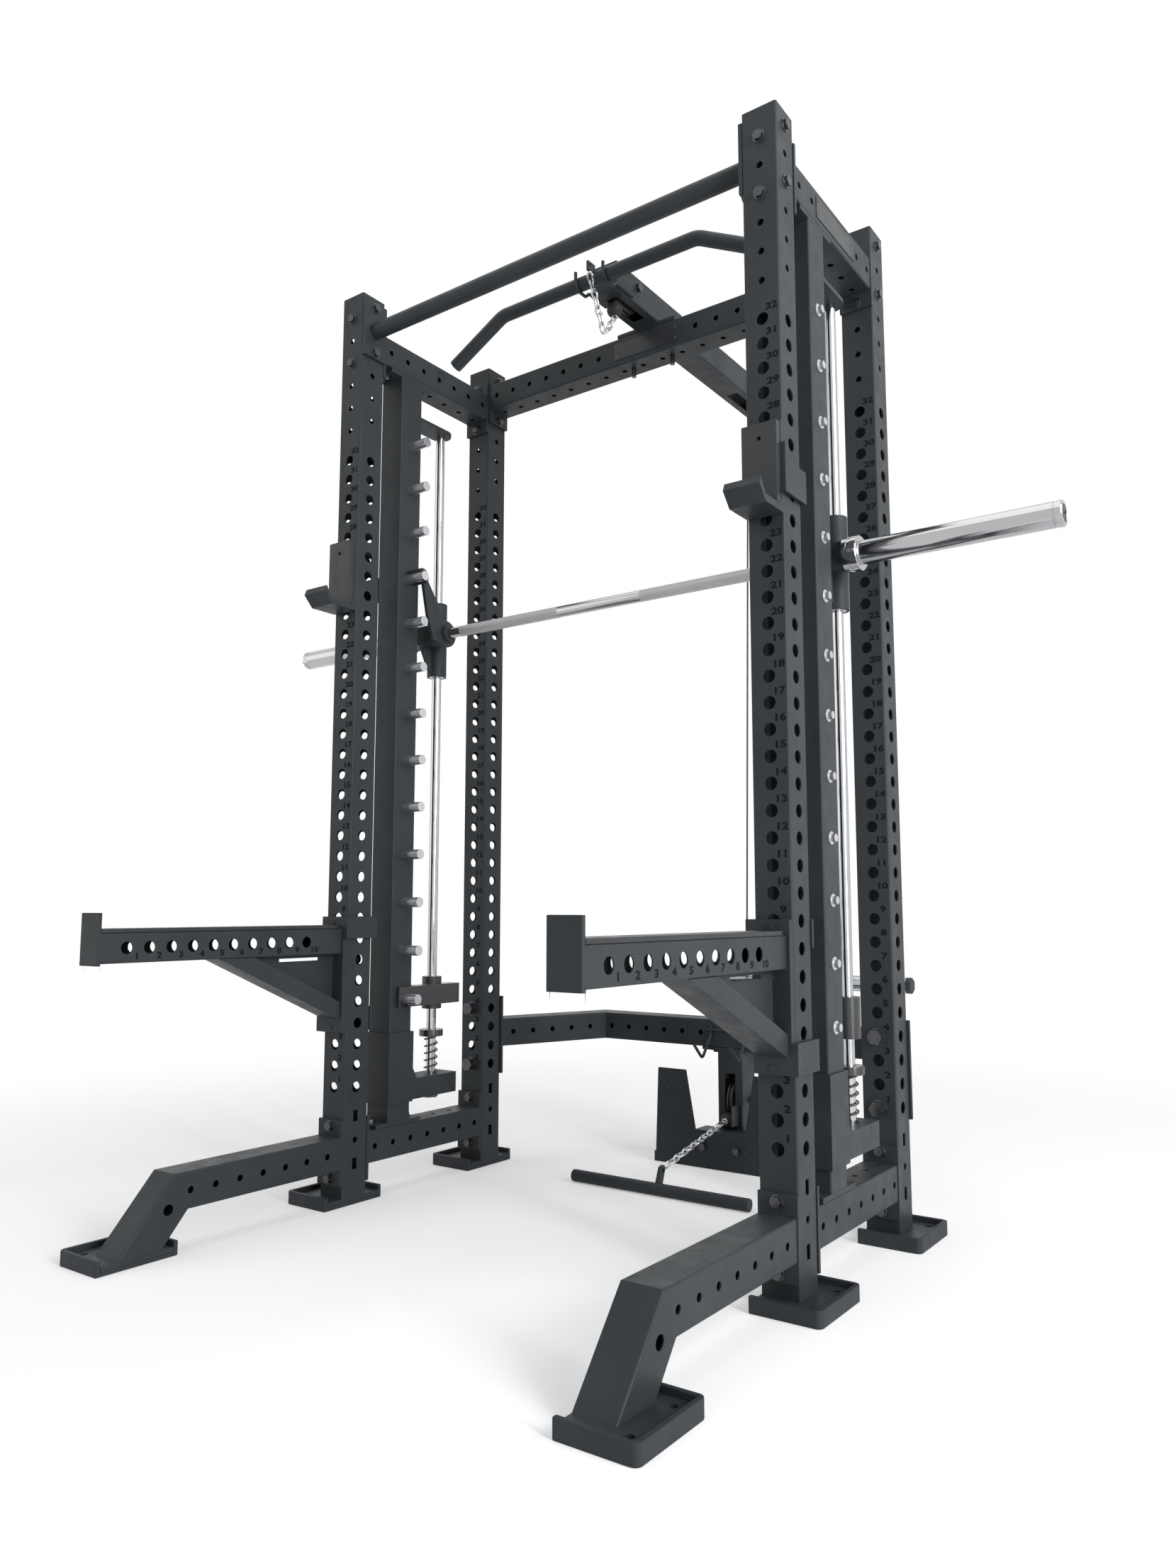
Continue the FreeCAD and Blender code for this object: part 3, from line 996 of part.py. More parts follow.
def axle_at(y, z, half):
    """Shaft with a hexagonal head and a nut outside two side walls."""
    shaft = rod("axle", "x", (y, z), (f"-({half}) - 1", f"{half} + 1"), "axle")
    heads = [hexagon("axle head", "x", (y, z), (half, f"{half} + bolt_head_high"), "bolt_head", side)
             for side in (-1, 1)]
    spacers = []
    for side in (-1, 1):
        spacers.append(rod("axle spacer", "x", (y, z),
                           ("pulley_wide / 2 + slot_half / 17", "low_slot_half - 1"), "axle + 6", side))
    return fuse("axle", [shaft] + heads + spacers)


axles = [axle_at(y, z, "(tube / 2)") for y, z in axles_at + [("low_y", "low_z")]]

# ---- cables
HIGH = (V["front_y"] - V["front_groove"], V["lat_ball_z"] + V["ball"] / 2, 0)
STATIONS = [HIGH, (V["front_y"], V["front_z"], -V["front_groove"]),
            (V["back_y"], V["back_z"], -V["back_groove"]),
            (V["float_y"], V["float_z"], -V["float_groove"]),
            (V["riser_y"], V["riser_z"], V["riser_groove"]),
            (V["low_y"], V["low_z"], -V["low_groove"]),
            (V["row_ball_y"] + V["ball"] / 2, V["low_z"] - V["low_groove"], 0)]
FALL_TOP = V["riser_z"]


def upright_run(y, z_from, z_to):
    """A straight vertical piece of cable."""
    offset = number(SHIFT)
    return Part.LineSegment(Vector(0, y + offset, z_from), Vector(0, y + offset, z_to)).toShape()


def with_tail(edges, offset):
    """The long cable goes on down to the height where the falls start."""
    end = edges[-1].valueAt(edges[-1].LastParameter)
    return edges + [upright_run(end.y - offset, V["back_z"], FALL_TOP)]


def shortened(edges, offset):
    """The back fall starts at the height of the front one."""
    top = edges[0].valueAt(edges[0].FirstParameter)
    return [upright_run(top.y - offset, FALL_TOP, V["float_z"])]


node("lat_cable", route("lat cable", STATIONS, V["cable"], 0, 4, with_tail))
back_fall = route("back fall", STATIONS, V["cable"], 4, 5, shortened)
front_fall = route("front fall", STATIONS, V["cable"], 6, 7)
node("falls", group("falls", [back_fall, front_fall]))
node("float_wrap", route("float wrap", STATIONS, V["cable"], 5, 6))
node("row_cable", route("row cable", STATIONS, V["cable"], 7, None))


def ball_at(y, z):
    item = make("Part::Sphere", "ball")
    bind(item, Radius="ball / 2")
    place(item, "0", y, z)
    return item


node("lat_stop_ball", ball_at("front_y - front_groove", "lat_ball_z"))
node("row_stop_ball", ball_at("row_ball_y", "low_z - low_groove"))

# ---- high bar with its chain
lat = bent("lat bar", [(-V["lat_end_x"], V["lat_bar_y"], V["lat_end_z"]),
                       (-V["lat_bar_half"], V["lat_bar_y"], V["lat_bar_z"]),
                       (V["lat_bar_half"], V["lat_bar_y"], V["lat_bar_z"]),
                       (V["lat_end_x"], V["lat_bar_y"], V["lat_end_z"])],
           [V["lat_bend"], V["lat_bend"]], V["lat_bar"])
lug = box("lat lug", ("-3", "3"), ("lat_bar_y - lat_bar / 2 - 12", "lat_bar_y"),
          ("lat_bar_z + lat_bar / 2 - 6", "lat_bar_z + lat_bar / 2 + 18"))
lug_hole = rod("lug hole", "x", ("lat_bar_y - lat_bar / 2 - 5", "lat_bar_z + lat_bar / 2 + 9"), ("-4", "4"),
               "chain + 2")
node("lat_bar", cut("lat bar", fuse("lat bar", [lat, lug]), lug_hole))
CHAIN_Y = V["lat_bar_y"] - V["lat_bar"] / 2 - 6
BALL_Y = V["front_y"] - V["front_groove"]
CHAIN_LOW = 2107
node("lat_chain_long", bent("lat chain", [(0, CHAIN_Y, V["lat_bar_z"] + V["lat_bar"] / 2 - 6.4),
                                          (0, CHAIN_Y, 2152), (0, CHAIN_Y + 30, CHAIN_LOW),
                                          (0, CHAIN_Y + 66, CHAIN_LOW)], [60, 20], V["chain"]))
node("lat_chain_short", bent("lat chain", [(0, CHAIN_Y + 66, CHAIN_LOW), (0, BALL_Y, CHAIN_LOW),
                                           (0, BALL_Y, V["lat_ball_z"] - V["ball"] / 2)],
                             [22], V["chain"]))

# ---- low bar with its chain
bar_z = "(row_bar / 2 + 0.3)"
grip = rod("row bar", "x", ("row_bar_y", bar_z), ("-row_bar_half", "row_bar_half"), "row_bar")
lug = profile("row lug", "yz", [("row_bar_y - 6", "20"), ("row_bar_y + 10", "12"),
                                ("lug_y + 12", "lug_z + 4"), ("lug_y + 4", "lug_z + 12"),
                                ("lug_y - 8", "lug_z + 8")], ("-5", "5"))
lug_hole = rod("lug hole", "x", ("lug_y", "lug_z"), ("-6", "6"), "chain + 4")
node("row_bar", cut("row bar", fuse("row bar", [grip, lug]), lug_hole))
node("row_chain", bent("row chain", [(0, V["row_ball_y"] - V["ball"] / 2 - 0.5, V["low_z"] - V["low_groove"]),
                                     (0, V["lug_y"] + 12.8, V["lug_z"] + 4)], [], V["chain"]))

# ---- weight carriage
IN_X, OUT_X = "carriage_in", "carriage_in + carriage_plate"
cheeks = []
for side_name, side in SIDES:
    cheeks.append(box("cheek", (IN_X, OUT_X), ("float_y - carriage_half", "float_y + carriage_half"),
                      ("carriage_low", "carriage_top"), side))
spacer = rod("spacer", "x", ("float_y", "horn_z"), ("-carriage_in - 1", "carriage_in + 1"), "horn")
joined = fuse("carriage", cheeks + [spacer])
shaft = rod("float axle", "x", ("float_y", "float_z"), (f"-({OUT_X}) - 1", f"{OUT_X} + 1"), "axle")
heads = [hexagon("float axle", "x", ("float_y", "float_z"), (OUT_X, f"{OUT_X} + bolt_head_high"),
                 "bolt_head", side) for side in (-1, 1)]
rings = [rod("float axle", "x", ("float_y", "float_z"), ("pulley_wide / 2 + 1", "carriage_in + 1"),
             "axle + 6", side) for side in (-1, 1)]
node("weight_carriage", fuse("carriage", cheeks + [spacer, shaft] + heads + rings))
horns, caps = [], []
for side_name, side in SIDES:
    horns.append(rod("horn", "x", ("float_y", "horn_z"), (OUT_X, "horn_end - horn_cap_long"), "horn", side))
    caps.append(hexagon("horn cap", "x", ("float_y", "horn_z"), ("horn_end - horn_cap_long", "horn_end"),
                        "horn - 6.5", side))
node("weight_horns", group("horns", horns))
node("horn_caps", group("horn caps", caps))


# ---- bolts of the frame
def bolt(axis, at, face, out, depth, side=1, across="bolt_head", shank="bolt_size",
         high="bolt_head_high"):
    """Hexagonal bolt: face is where the head sits, out its direction, depth the shank's length."""
    if out > 0:
        head_span = (face, f"{face} + {high}")
        body_span = (f"{face} - ({depth})", f"{face} + 1")
    else:
        head_span = (f"{face} - {high}", face)
        body_span = (f"{face} - 1", f"{face} + ({depth})")
    head = hexagon("bolt", axis, at, head_span, across, side)
    return fuse("bolt", [head, rod("bolt", axis, at, body_span, shank, side)])


bolts, big_bolts = [], []
PLATE_REACH = "plate + tube_wall + 4"
WALL_REACH = "tube_wall + 4"
REAR_FACE = "bay_depth - tube / 2"
for side_name, side in SIDES:
    for z in bolt_z:
        bolts.append(bolt("y", ("post_x", z), "-tube / 2 - plate", -1, PLATE_REACH, side))
    for beam_z in ("low_beam_z", "top_beam_z"):
        for z in (f"{beam_z} - bolt_pitch", f"{beam_z} + bolt_pitch"):
            bolts.append(bolt("y", ("post_x", z), "tube / 2 + plate", 1, PLATE_REACH, side))
            bolts.append(bolt("y", ("post_x", z), "bay_depth - tube / 2 - plate", -1, PLATE_REACH, side))
            bolts.append(bolt("y", ("post_x", z), "bay_depth + tube / 2", 1, WALL_REACH, side))
    for z in ("top_beam_z - bolt_pitch", "top_beam_z + bolt_pitch"):
        bolts.append(bolt("y", ("post_x", z), "-tube / 2", -1, WALL_REACH, side))
    for y in ("0", "bay_depth"):
        for z in END_Z:
            bolts.append(bolt("x", (y, z), INNER, -1, PLATE_REACH, side))
            bolts.append(bolt("x", (y, z), POST_OUT, 1, WALL_REACH, side))
    for y in SLIDER_BOLT_Y:
        bolts.append(bolt("z", ("post_x", y), f"{BASE_Z} + slider_plate", 1,
                          "tube + slider_plate + 4", side))
        bolts.append(bolt("z", ("post_x", y), f"{HEAD_Z} - slider_plate", -1,
                          "tube + slider_plate + 4", side))
    bolts.append(bolt("z", ("beam_bolt", "bay_depth"), "beam_low", 1, "beam_seat + tube + 25", side))
    bolts.append(bolt("z", ("beam_bolt", "rear_y"), LOW_TOP, -1, "plate + tube_wall + 6", side))
    bolts.append(bolt("y", ("51", "57"), "foot_y", -1, "foot_thick + 8", side))
    for z in big_z:
        washer = rod("rear washer", "y", ("post_x", z), (f"{REAR_FACE} - rear_washer_thick", REAR_FACE),
                     "rear_washer", side)
        pin = bolt("y", ("post_x", z), f"{REAR_FACE} - rear_washer_thick", -1, "tube + plate + 17",
                   side, "rear_bolt + 6", "rear_bolt", "rear_bolt_high")
        big_bolts.append(fuse("rear bolt", [washer, pin]))
node("frame_fasteners", group("fasteners", bolts + big_bolts + nuts + rod_screws + axles))

doc.removeObject(probe.Name)
doc.recompute()

for item in doc.Objects:
    if "Invalid" in item.State or "Error" in item.State:
        raise RuntimeError(f"{item.Label} is {item.State}")

os.makedirs("parts", exist_ok=True)
for name, item in nodes.items():
    shape = item.Shape
    if shape.isNull() or not shape.isValid():
        raise RuntimeError(f"{name} has no valid shape")
    shape.exportStep(f"parts/{name}.step")
    bounds = shape.BoundBox
    print(f"{name}: {len(shape.Solids)} solids, {shape.Volume / 1000:.1f} cm3, "
          f"x {bounds.XMin:.1f} {bounds.XMax:.1f}, y {bounds.YMin:.1f} {bounds.YMax:.1f}, "
          f"z {bounds.ZMin:.1f} {bounds.ZMax:.1f}")
print(len(nodes), "nodes")
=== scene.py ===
"""Finishes, fine detail and studio for the power cage, laid over its CAD frame."""
import logging
import math
from dataclasses import dataclass, field
from enum import Enum

import bmesh
import bpy
from mathutils import Matrix, Vector
from mathutils.bvhtree import BVHTree


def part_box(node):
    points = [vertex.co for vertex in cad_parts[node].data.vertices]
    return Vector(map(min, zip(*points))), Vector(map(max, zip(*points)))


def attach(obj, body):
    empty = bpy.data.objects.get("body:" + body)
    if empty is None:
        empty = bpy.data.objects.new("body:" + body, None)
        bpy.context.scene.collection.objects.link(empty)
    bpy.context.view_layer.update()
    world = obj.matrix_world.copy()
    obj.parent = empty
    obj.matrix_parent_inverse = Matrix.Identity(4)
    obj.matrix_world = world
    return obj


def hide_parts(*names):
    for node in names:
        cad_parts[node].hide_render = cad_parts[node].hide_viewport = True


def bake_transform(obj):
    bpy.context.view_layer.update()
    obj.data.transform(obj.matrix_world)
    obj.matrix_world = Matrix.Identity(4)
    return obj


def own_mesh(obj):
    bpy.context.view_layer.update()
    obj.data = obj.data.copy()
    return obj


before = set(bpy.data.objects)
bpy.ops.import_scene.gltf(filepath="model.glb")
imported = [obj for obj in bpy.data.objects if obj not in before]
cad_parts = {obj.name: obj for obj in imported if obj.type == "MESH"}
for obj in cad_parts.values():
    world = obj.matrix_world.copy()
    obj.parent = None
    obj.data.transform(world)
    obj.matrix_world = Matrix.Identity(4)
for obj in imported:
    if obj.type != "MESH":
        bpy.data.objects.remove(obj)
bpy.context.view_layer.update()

MM = 0.001
log = logging.getLogger("power_cage")


# ---------------------------------------------------------------- finishes
class Grain(Enum):
    """How the small relief of a surface runs."""

    FINE = (1.0, 1.0, 1.0)
    AROUND_X = (1.0, 0.04, 0.04)
    AROUND_Z = (0.04, 0.04, 1.0)


def math_node(tree: bpy.types.NodeTree, way: str,
              *values: bpy.types.NodeSocket | float) -> bpy.types.NodeSocket:
    """Add a math node.

    Args:
        tree: The node tree that takes it.
        way: Its operation.
        values: Its inputs, each a socket or a number.

    Returns:
        Its result.
    """
    node = tree.nodes.new("ShaderNodeMath")
    node.operation = way
    for socket, value in zip(node.inputs, values):
        if isinstance(value, bpy.types.NodeSocket):
            tree.links.new(value, socket)
        else:
            socket.default_value = value
    return node.outputs[0]


@dataclass(frozen=True)
class Finish:
    """One surface finish, built as a node material that reads Object coordinates."""

    NOISE_SPAN = (0.3, 0.7)
    SMOOTHEST = 0.02

    name: str
    colour: tuple[float, float, float]
    roughness: float
    metallic: float = 0.0
    specular: float = 0.5
    mottle: float = 0.12
    mottle_scale: float = 7.0
    rough_spread: float = 0.08
    grain: Grain = Grain.FINE
    grain_scale: float = 900.0
    grain_depth: float = 0.02 * MM
    grain_strength: float = 0.35

    def material(self) -> bpy.types.Material:
        """The node material of this finish, made once.

        Returns:
            The material, shared by every piece with this finish.
        """
        found = bpy.data.materials.get(self.name)
        if found is not None:
            return found
        made = bpy.data.materials.new(self.name)
        made.use_nodes = True
        tree = made.node_tree
        shader = tree.nodes["Principled BSDF"]
        shader.inputs["Metallic"].default_value = self.metallic
        shader.inputs["Specular IOR Level"].default_value = self.specular
        place = tree.nodes.new("ShaderNodeTexCoord").outputs["Object"]
        self._colour(tree, shader, place)
        self._roughness(tree, shader, place)
        self._relief(tree, shader, place)
        return made

    def _colour(self, tree: bpy.types.NodeTree, shader: bpy.types.Node,
                place: bpy.types.NodeSocket) -> None:
        """Drive the base colour by a slow cloud of lighter and darker patches.

        Args:
            tree: The material's node tree.
            shader: Its Principled node.
            place: The Object coordinates.
        """
        cloud = self._noise(tree, place, self.mottle_scale, 3.0)
        ramp = tree.nodes.new("ShaderNodeValToRGB")
        shares = (1.0 - self.mottle, 1.0 + self.mottle)
        for stop, at, share in zip(ramp.color_ramp.elements, self.NOISE_SPAN, shares):
            stop.position = at
            stop.color = tuple(min(1.0, part * share) for part in self.colour) + (1.0,)
        tree.links.new(cloud, ramp.inputs["Fac"])
        tree.links.new(ramp.outputs["Color"], shader.inputs["Base Color"])

    def _roughness(self, tree: bpy.types.NodeTree, shader: bpy.types.Node,
                   place: bpy.types.NodeSocket) -> None:
        """Drive the roughness by handling marks and a finer speckle.

        Args:
            tree: The material's node tree.
            shader: Its Principled node.
            place: The Object coordinates.
        """
        marks = self._noise(tree, place, self.mottle_scale * 4.0, 5.0)
        spread = tree.nodes.new("ShaderNodeMapRange")
        spread.inputs["From Min"].default_value = self.NOISE_SPAN[0]
        spread.inputs["From Max"].default_value = self.NOISE_SPAN[1]
        spread.inputs["To Min"].default_value = max(self.SMOOTHEST,
                                                    self.roughness - self.rough_spread)
        spread.inputs["To Max"].default_value = self.roughness + self.rough_spread
        tree.links.new(marks, spread.inputs["Value"])
        tree.links.new(spread.outputs["Result"], shader.inputs["Roughness"])

    def _relief(self, tree: bpy.types.NodeTree, shader: bpy.types.Node,
                place: bpy.types.NodeSocket) -> None:
        """Raise the finish's own grain with a bump.

        Args:
            tree: The material's node tree.
            shader: Its Principled node.
            place: The Object coordinates.
        """
        turned = tree.nodes.new("ShaderNodeMapping")
        turned.inputs["Scale"].default_value = self.grain.value
        tree.links.new(place, turned.inputs["Vector"])
        grain = self._noise(tree, turned.outputs["Vector"], self.grain_scale, 2.0)
        bump = tree.nodes.new("ShaderNodeBump")
        bump.inputs["Strength"].default_value = self.grain_strength
        bump.inputs["Distance"].default_value = self.grain_depth
        tree.links.new(grain, bump.inputs["Height"])
        tree.links.new(bump.outputs["Normal"], shader.inputs["Normal"])

    @staticmethod
    def _noise(tree: bpy.types.NodeTree, place: bpy.types.NodeSocket, scale: float,
               detail: float) -> bpy.types.NodeSocket:
        """Add a noise texture.

        Args:
            tree: The material's node tree.
            place: Where the texture is read.
            scale: Features per metre.
            detail: Octaves of finer noise.

        Returns:
            The noise's Fac output.
        """
        noise = tree.nodes.new("ShaderNodeTexNoise")
        noise.inputs["Scale"].default_value = scale
        noise.inputs["Detail"].default_value = detail
        tree.links.new(place, noise.inputs["Vector"])
        return noise.outputs["Fac"]


@dataclass(frozen=True)
class KnurledFinish(Finish):
    """A finish with crossed knurling round an axis along x, in a zone on each side."""

    axis: tuple[float, float] = (0.0, 0.0)
    radius: float = 14 * MM
    teeth: int = 62
    zone: tuple[float, float] = (0.12, 0.44)
    knurl_depth: float = 0.15 * MM

    def _relief(self, tree: bpy.types.NodeTree, shader: bpy.types.Node,
                place: bpy.types.NodeSocket) -> None:
        """Raise the knurl's diamonds inside its zones.

        Args:
            tree: The material's node tree.
            shader: Its Principled node.
            place: The Object coordinates.
        """
        parts = tree.nodes.new("ShaderNodeSeparateXYZ")
        tree.links.new(place, parts.inputs[0])
        across = math_node(tree, "SUBTRACT", parts.outputs["Y"], self.axis[0])
        upward = math_node(tree, "SUBTRACT", parts.outputs["Z"], self.axis[1])
        angle = math_node(tree, "ARCTAN2", upward, across)
        around = math_node(tree, "MULTIPLY", angle, self.teeth)
        along = math_node(tree, "MULTIPLY", parts.outputs["X"], self.teeth / self.radius)
        rows = [math_node(tree, "SINE", math_node(tree, way, around, along))
                for way in ("ADD", "SUBTRACT")]
        diamonds = math_node(tree, "MULTIPLY", *rows)
        reach = math_node(tree, "ABSOLUTE", parts.outputs["X"])
        inside = math_node(tree, "MULTIPLY", math_node(tree, "GREATER_THAN", reach, self.zone[0]),
                           math_node(tree, "LESS_THAN", reach, self.zone[1]))
        bump = tree.nodes.new("ShaderNodeBump")
        bump.inputs["Distance"].default_value = self.knurl_depth
        tree.links.new(math_node(tree, "MULTIPLY", diamonds, inside), bump.inputs["Height"])
        tree.links.new(bump.outputs["Normal"], shader.inputs["Normal"])


POWDER = Finish("charcoal powder coat", (0.0325, 0.0375, 0.0415), 0.46, specular=0.2,
                grain_depth=0.05 * MM)
PLATE = Finish("satin name plate", (0.03, 0.033, 0.036), 0.34, specular=0.4,
               grain_scale=500.0)
BOOT = Finish("moulded boot rubber", (0.022, 0.026, 0.031), 0.62, specular=0.35, grain_scale=600.0,
              grain_depth=0.08 * MM)
LINER = Finish("liner nylon", (0.024, 0.026, 0.029), 0.42, specular=0.4, grain_scale=450.0,
               grain_depth=0.03 * MM)
SATIN = Finish("satin sleeve coat", (0.035, 0.038, 0.041), 0.3, specular=0.5, grain=Grain.AROUND_Z)
CHROME = Finish("polished chrome", (0.46, 0.465, 0.475), 0.12, metallic=1.0, mottle=0.04,
                rough_spread=0.04, grain=Grain.AROUND_X, grain_depth=0.004 * MM)
KNURLED = KnurledFinish("knurled chrome", (0.46, 0.465, 0.475), 0.16, metallic=1.0, mottle=0.04,
                        rough_spread=0.04, axis=(-44 * MM, 1416 * MM))
ROD = Finish("hard chrome rod", (0.52, 0.53, 0.545), 0.15, metallic=1.0, mottle=0.04,
             rough_spread=0.05, grain=Grain.AROUND_Z, grain_depth=0.006 * MM)
STEEL = Finish("satin steel", (0.6, 0.61, 0.63), 0.38, metallic=1.0, mottle=0.08,
               grain=Grain.AROUND_X, grain_depth=0.01 * MM)
ZINC = Finish("bright zinc", (0.66, 0.67, 0.69), 0.2, metallic=1.0, mottle=0.1, mottle_scale=60.0,
              grain_scale=400.0)
SPRING = Finish("oiled spring wire", (0.1, 0.1, 0.105), 0.32, metallic=0.7, mottle=0.15)
BOLT = Finish("black zinc", (0.085, 0.088, 0.093), 0.26, metallic=0.85, mottle=0.15,
              mottle_scale=80.0)
NYLON = Finish("pulley nylon", (0.028, 0.029, 0.031), 0.4, specular=0.45)
CABLE = Finish("cable jacket", (0.02, 0.021, 0.023), 0.36, specular=0.5, mottle_scale=40.0)
RUBBER = Finish("stop rubber", (0.03, 0.031, 0.034), 0.6, specular=0.35, mottle_scale=40.0)
# Near-black painted shade for the hole numbers: the shaded inside of the tube seen through cut-out
# numerals.
NUMERAL_SHADE = Finish("numeral painted shade", (0.008, 0.009, 0.01), 0.8, specular=0.1, mottle_scale=90.0)


# ---------------------------------------------------------------- shared tools
class Shading:
    """Joins the loose faces of a CAD node, rounds its edges and shades it smooth."""

    WELD = 0.004 * MM
    SMOOTH = math.radians(32)
    FLAT = math.radians(0.6)
    CORNER = math.radians(50)

    @classmethod
    def smooth_group(cls) -> bpy.types.NodeTree:
        """Node group that shades faces smooth and marks as sharp each edge over the angle.

        Returns:
            The geometry node group, made once.
        """
        found = bpy.data.node_groups.get("smooth by angle")
        if found is not None:
            return found
        tree = bpy.data.node_groups.new("smooth by angle", "GeometryNodeTree")
        tree.interface.new_socket("Geometry", in_out="INPUT", socket_type="NodeSocketGeometry")
        tree.interface.new_socket("Geometry", in_out="OUTPUT", socket_type="NodeSocketGeometry")
        start = tree.nodes.new("NodeGroupInput")
        end = tree.nodes.new("NodeGroupOutput")
        faces = tree.nodes.new("GeometryNodeSetShadeSmooth")
        faces.domain = "FACE"
        edges = tree.nodes.new("GeometryNodeSetShadeSmooth")
        edges.domain = "EDGE"
        edges.inputs["Shade Smooth"].default_value = False
        angle = tree.nodes.new("GeometryNodeInputMeshEdgeAngle")
        sharp = tree.nodes.new("FunctionNodeCompare")
        sharp.data_type = "FLOAT"
        sharp.operation = "GREATER_THAN"
        sharp.inputs["B"].default_value = cls.SMOOTH
        tree.links.new(angle.outputs["Unsigned Angle"], sharp.inputs["A"])
        tree.links.new(start.outputs[0], faces.inputs["Geometry"])
        tree.links.new(faces.outputs[0], edges.inputs["Geometry"])
        tree.links.new(sharp.outputs["Result"], edges.inputs["Selection"])
        tree.links.new(edges.outputs[0], end.inputs[0])
        return tree

    @classmethod
    def apply(cls, piece: bpy.types.Object, edge: float) -> None:
        """Add the modifiers that turn a raw CAD node into a finished piece.

        Args:
            piece: The CAD node.
            edge: How far its edges are rounded, in metres; 0 leaves them as they are.
        """
        weld = piece.modifiers.new("join faces", "WELD")
        weld.merge_threshold = cls.WELD
        if edge > 0:
            flat = piece.modifiers.new("flat faces", "DECIMATE")
            flat.decimate_type = "DISSOLVE"
            flat.angle_limit = cls.FLAT
            bevel = piece.modifiers.new("rounded edges", "BEVEL")
            bevel.width = edge
            bevel.segments = 2
            bevel.limit_method = "ANGLE"
            bevel.angle_limit = cls.CORNER
            bevel.use_clamp_overlap = False
        smooth = piece.modifiers.new("smooth", "NODES")
        smooth.node_group = cls.smooth_group()
        weighted = piece.modifiers.new("face weights", "WEIGHTED_NORMAL")
        weighted.keep_sharp = True


class Shapes:
    """Small shapes made by bmesh operators."""

    @staticmethod
    def turned(profile: list[tuple[float, float]], steps: int = 48) -> bmesh.types.BMesh:
        """A closed body turned about the x axis.

        Args:
            profile: Its outline as (along x, radius) points, in order.
            steps: Facets round the axis.

        Returns:
            The turned body.
        """
        made = bmesh.new()
        points = [made.verts.new((along, 0.0, radius)) for along, radius in profile]
        closed = profile[0][1] > 0 and profile[-1][1] > 0
        pairs = list(zip(points, points[1:]))
        if closed:
            pairs.append((points[-1], points[0]))
        for first, second in pairs:
            made.edges.new((first, second))
        bmesh.ops.spin(made, geom=made.verts[:] + made.edges[:], cent=(0, 0, 0), axis=(1, 0, 0),
                       dvec=(0, 0, 0), angle=math.tau, steps=steps, use_merge=True)
        Shapes.close(made)
        return made

    @staticmethod
    def close(shape: bmesh.types.BMesh, gap: float = 0.001 * MM) -> None:
        """Merge a shape's doubled points and turn its faces outwards.

        Args:
            shape: The shape.
            gap: How near two points are to be one, in metres.
        """
        bmesh.ops.remove_doubles(shape, verts=shape.verts, dist=gap)
        bmesh.ops.recalc_face_normals(shape, faces=shape.faces)

    @staticmethod
    def of_node(node: str) -> bmesh.types.BMesh:
        """A copy of a CAD node's mesh, with its loose triangles joined.

        Args:
            node: The node's name.

        Returns:
            The copy.
        """
        made = bmesh.new()
        made.from_mesh(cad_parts[node].data)
        bmesh.ops.remove_doubles(made, verts=made.verts, dist=Shading.WELD)
        return made

    @staticmethod
    def add(target: bmesh.types.BMesh, source: bpy.types.Mesh, place: Matrix) -> None:
        """Copy a mesh into a bmesh.

        Args:
            target: The bmesh that grows.
            source: The mesh that is copied in.
            place: Where the copy goes.
        """
        before = len(target.verts)
        target.from_mesh(source)
        target.verts.ensure_lookup_table()
        bmesh.ops.transform(target, matrix=place, verts=target.verts[before:])

    @staticmethod
    def mesh(source: bmesh.types.BMesh, name: str) -> bpy.types.Mesh:
        """Turn a bmesh into mesh data and free it.

        Args:
            source: The bmesh.
            name: The mesh's name.

        Returns:
            The new mesh.
        """
        made = bpy.data.meshes.new(name)
        source.to_mesh(made)
        source.free()
        return made

    @classmethod
    def stamp(cls, target: bmesh.types.BMesh, pattern: bmesh.types.BMesh,
              *places: Matrix) -> None:
        """Copy a small shape into a larger one, once for each place.

        Args:
            target: The bmesh that grows.
            pattern: The small shape, which is freed.
            places: Where the copies go.
        """
        source = cls.mesh(pattern, "pattern")
        for place in places:
            cls.add(target, source, place)
        bpy.data.meshes.remove(source)


@dataclass
class SubAssembly:
    """A group of pieces that are built and dressed together."""

    title: str = "sub-assembly"

    def build(self) -> None:
        """Build and dress every piece of the sub-assembly."""
        raise NotImplementedError

    def dress(self, finish: Finish, edge: float, *nodes: str) -> None:
        """Give CAD nodes their finish and rounded edges.

        Args:
            finish: The finish of all of them.
            edge: How far their edges are rounded, in metres.
            nodes: The nodes' names.
        """
        for name in nodes:
            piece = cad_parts[name]
            piece.data.materials.clear()
            piece.data.materials.append(finish.material())
            Shading.apply(piece, edge)
            log.info("%s: dressed %s in %s", self.title, name, finish.name)

    def piece(self, name: str, shape: bmesh.types.BMesh, finish: Finish, body: str, slot: str,
              smooth: bool = True) -> bpy.types.Object:
        """Make a new piece that rides on a body.

        Args:
            name: The piece's name.
            shape: Its shape, in the frame's own place.
            finish: Its finish.
            body: The body it rides on.
            slot: The record's material slot it belongs to; not used.
            smooth: Whether its curved faces are shaded smooth.

        Returns:
            The new object.
        """
        data = Shapes.mesh(shape, name)
        data.materials.append(finish.material())
        made = bpy.data.objects.new(name, data)
        bpy.context.scene.collection.objects.link(made)
        if smooth:
            modifier = made.modifiers.new("smooth", "NODES")
            modifier.node_group = Shading.smooth_group()
        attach(made, body)
        log.info("%s: built %s with %d faces", self.title, name, len(data.polygons))
        return made


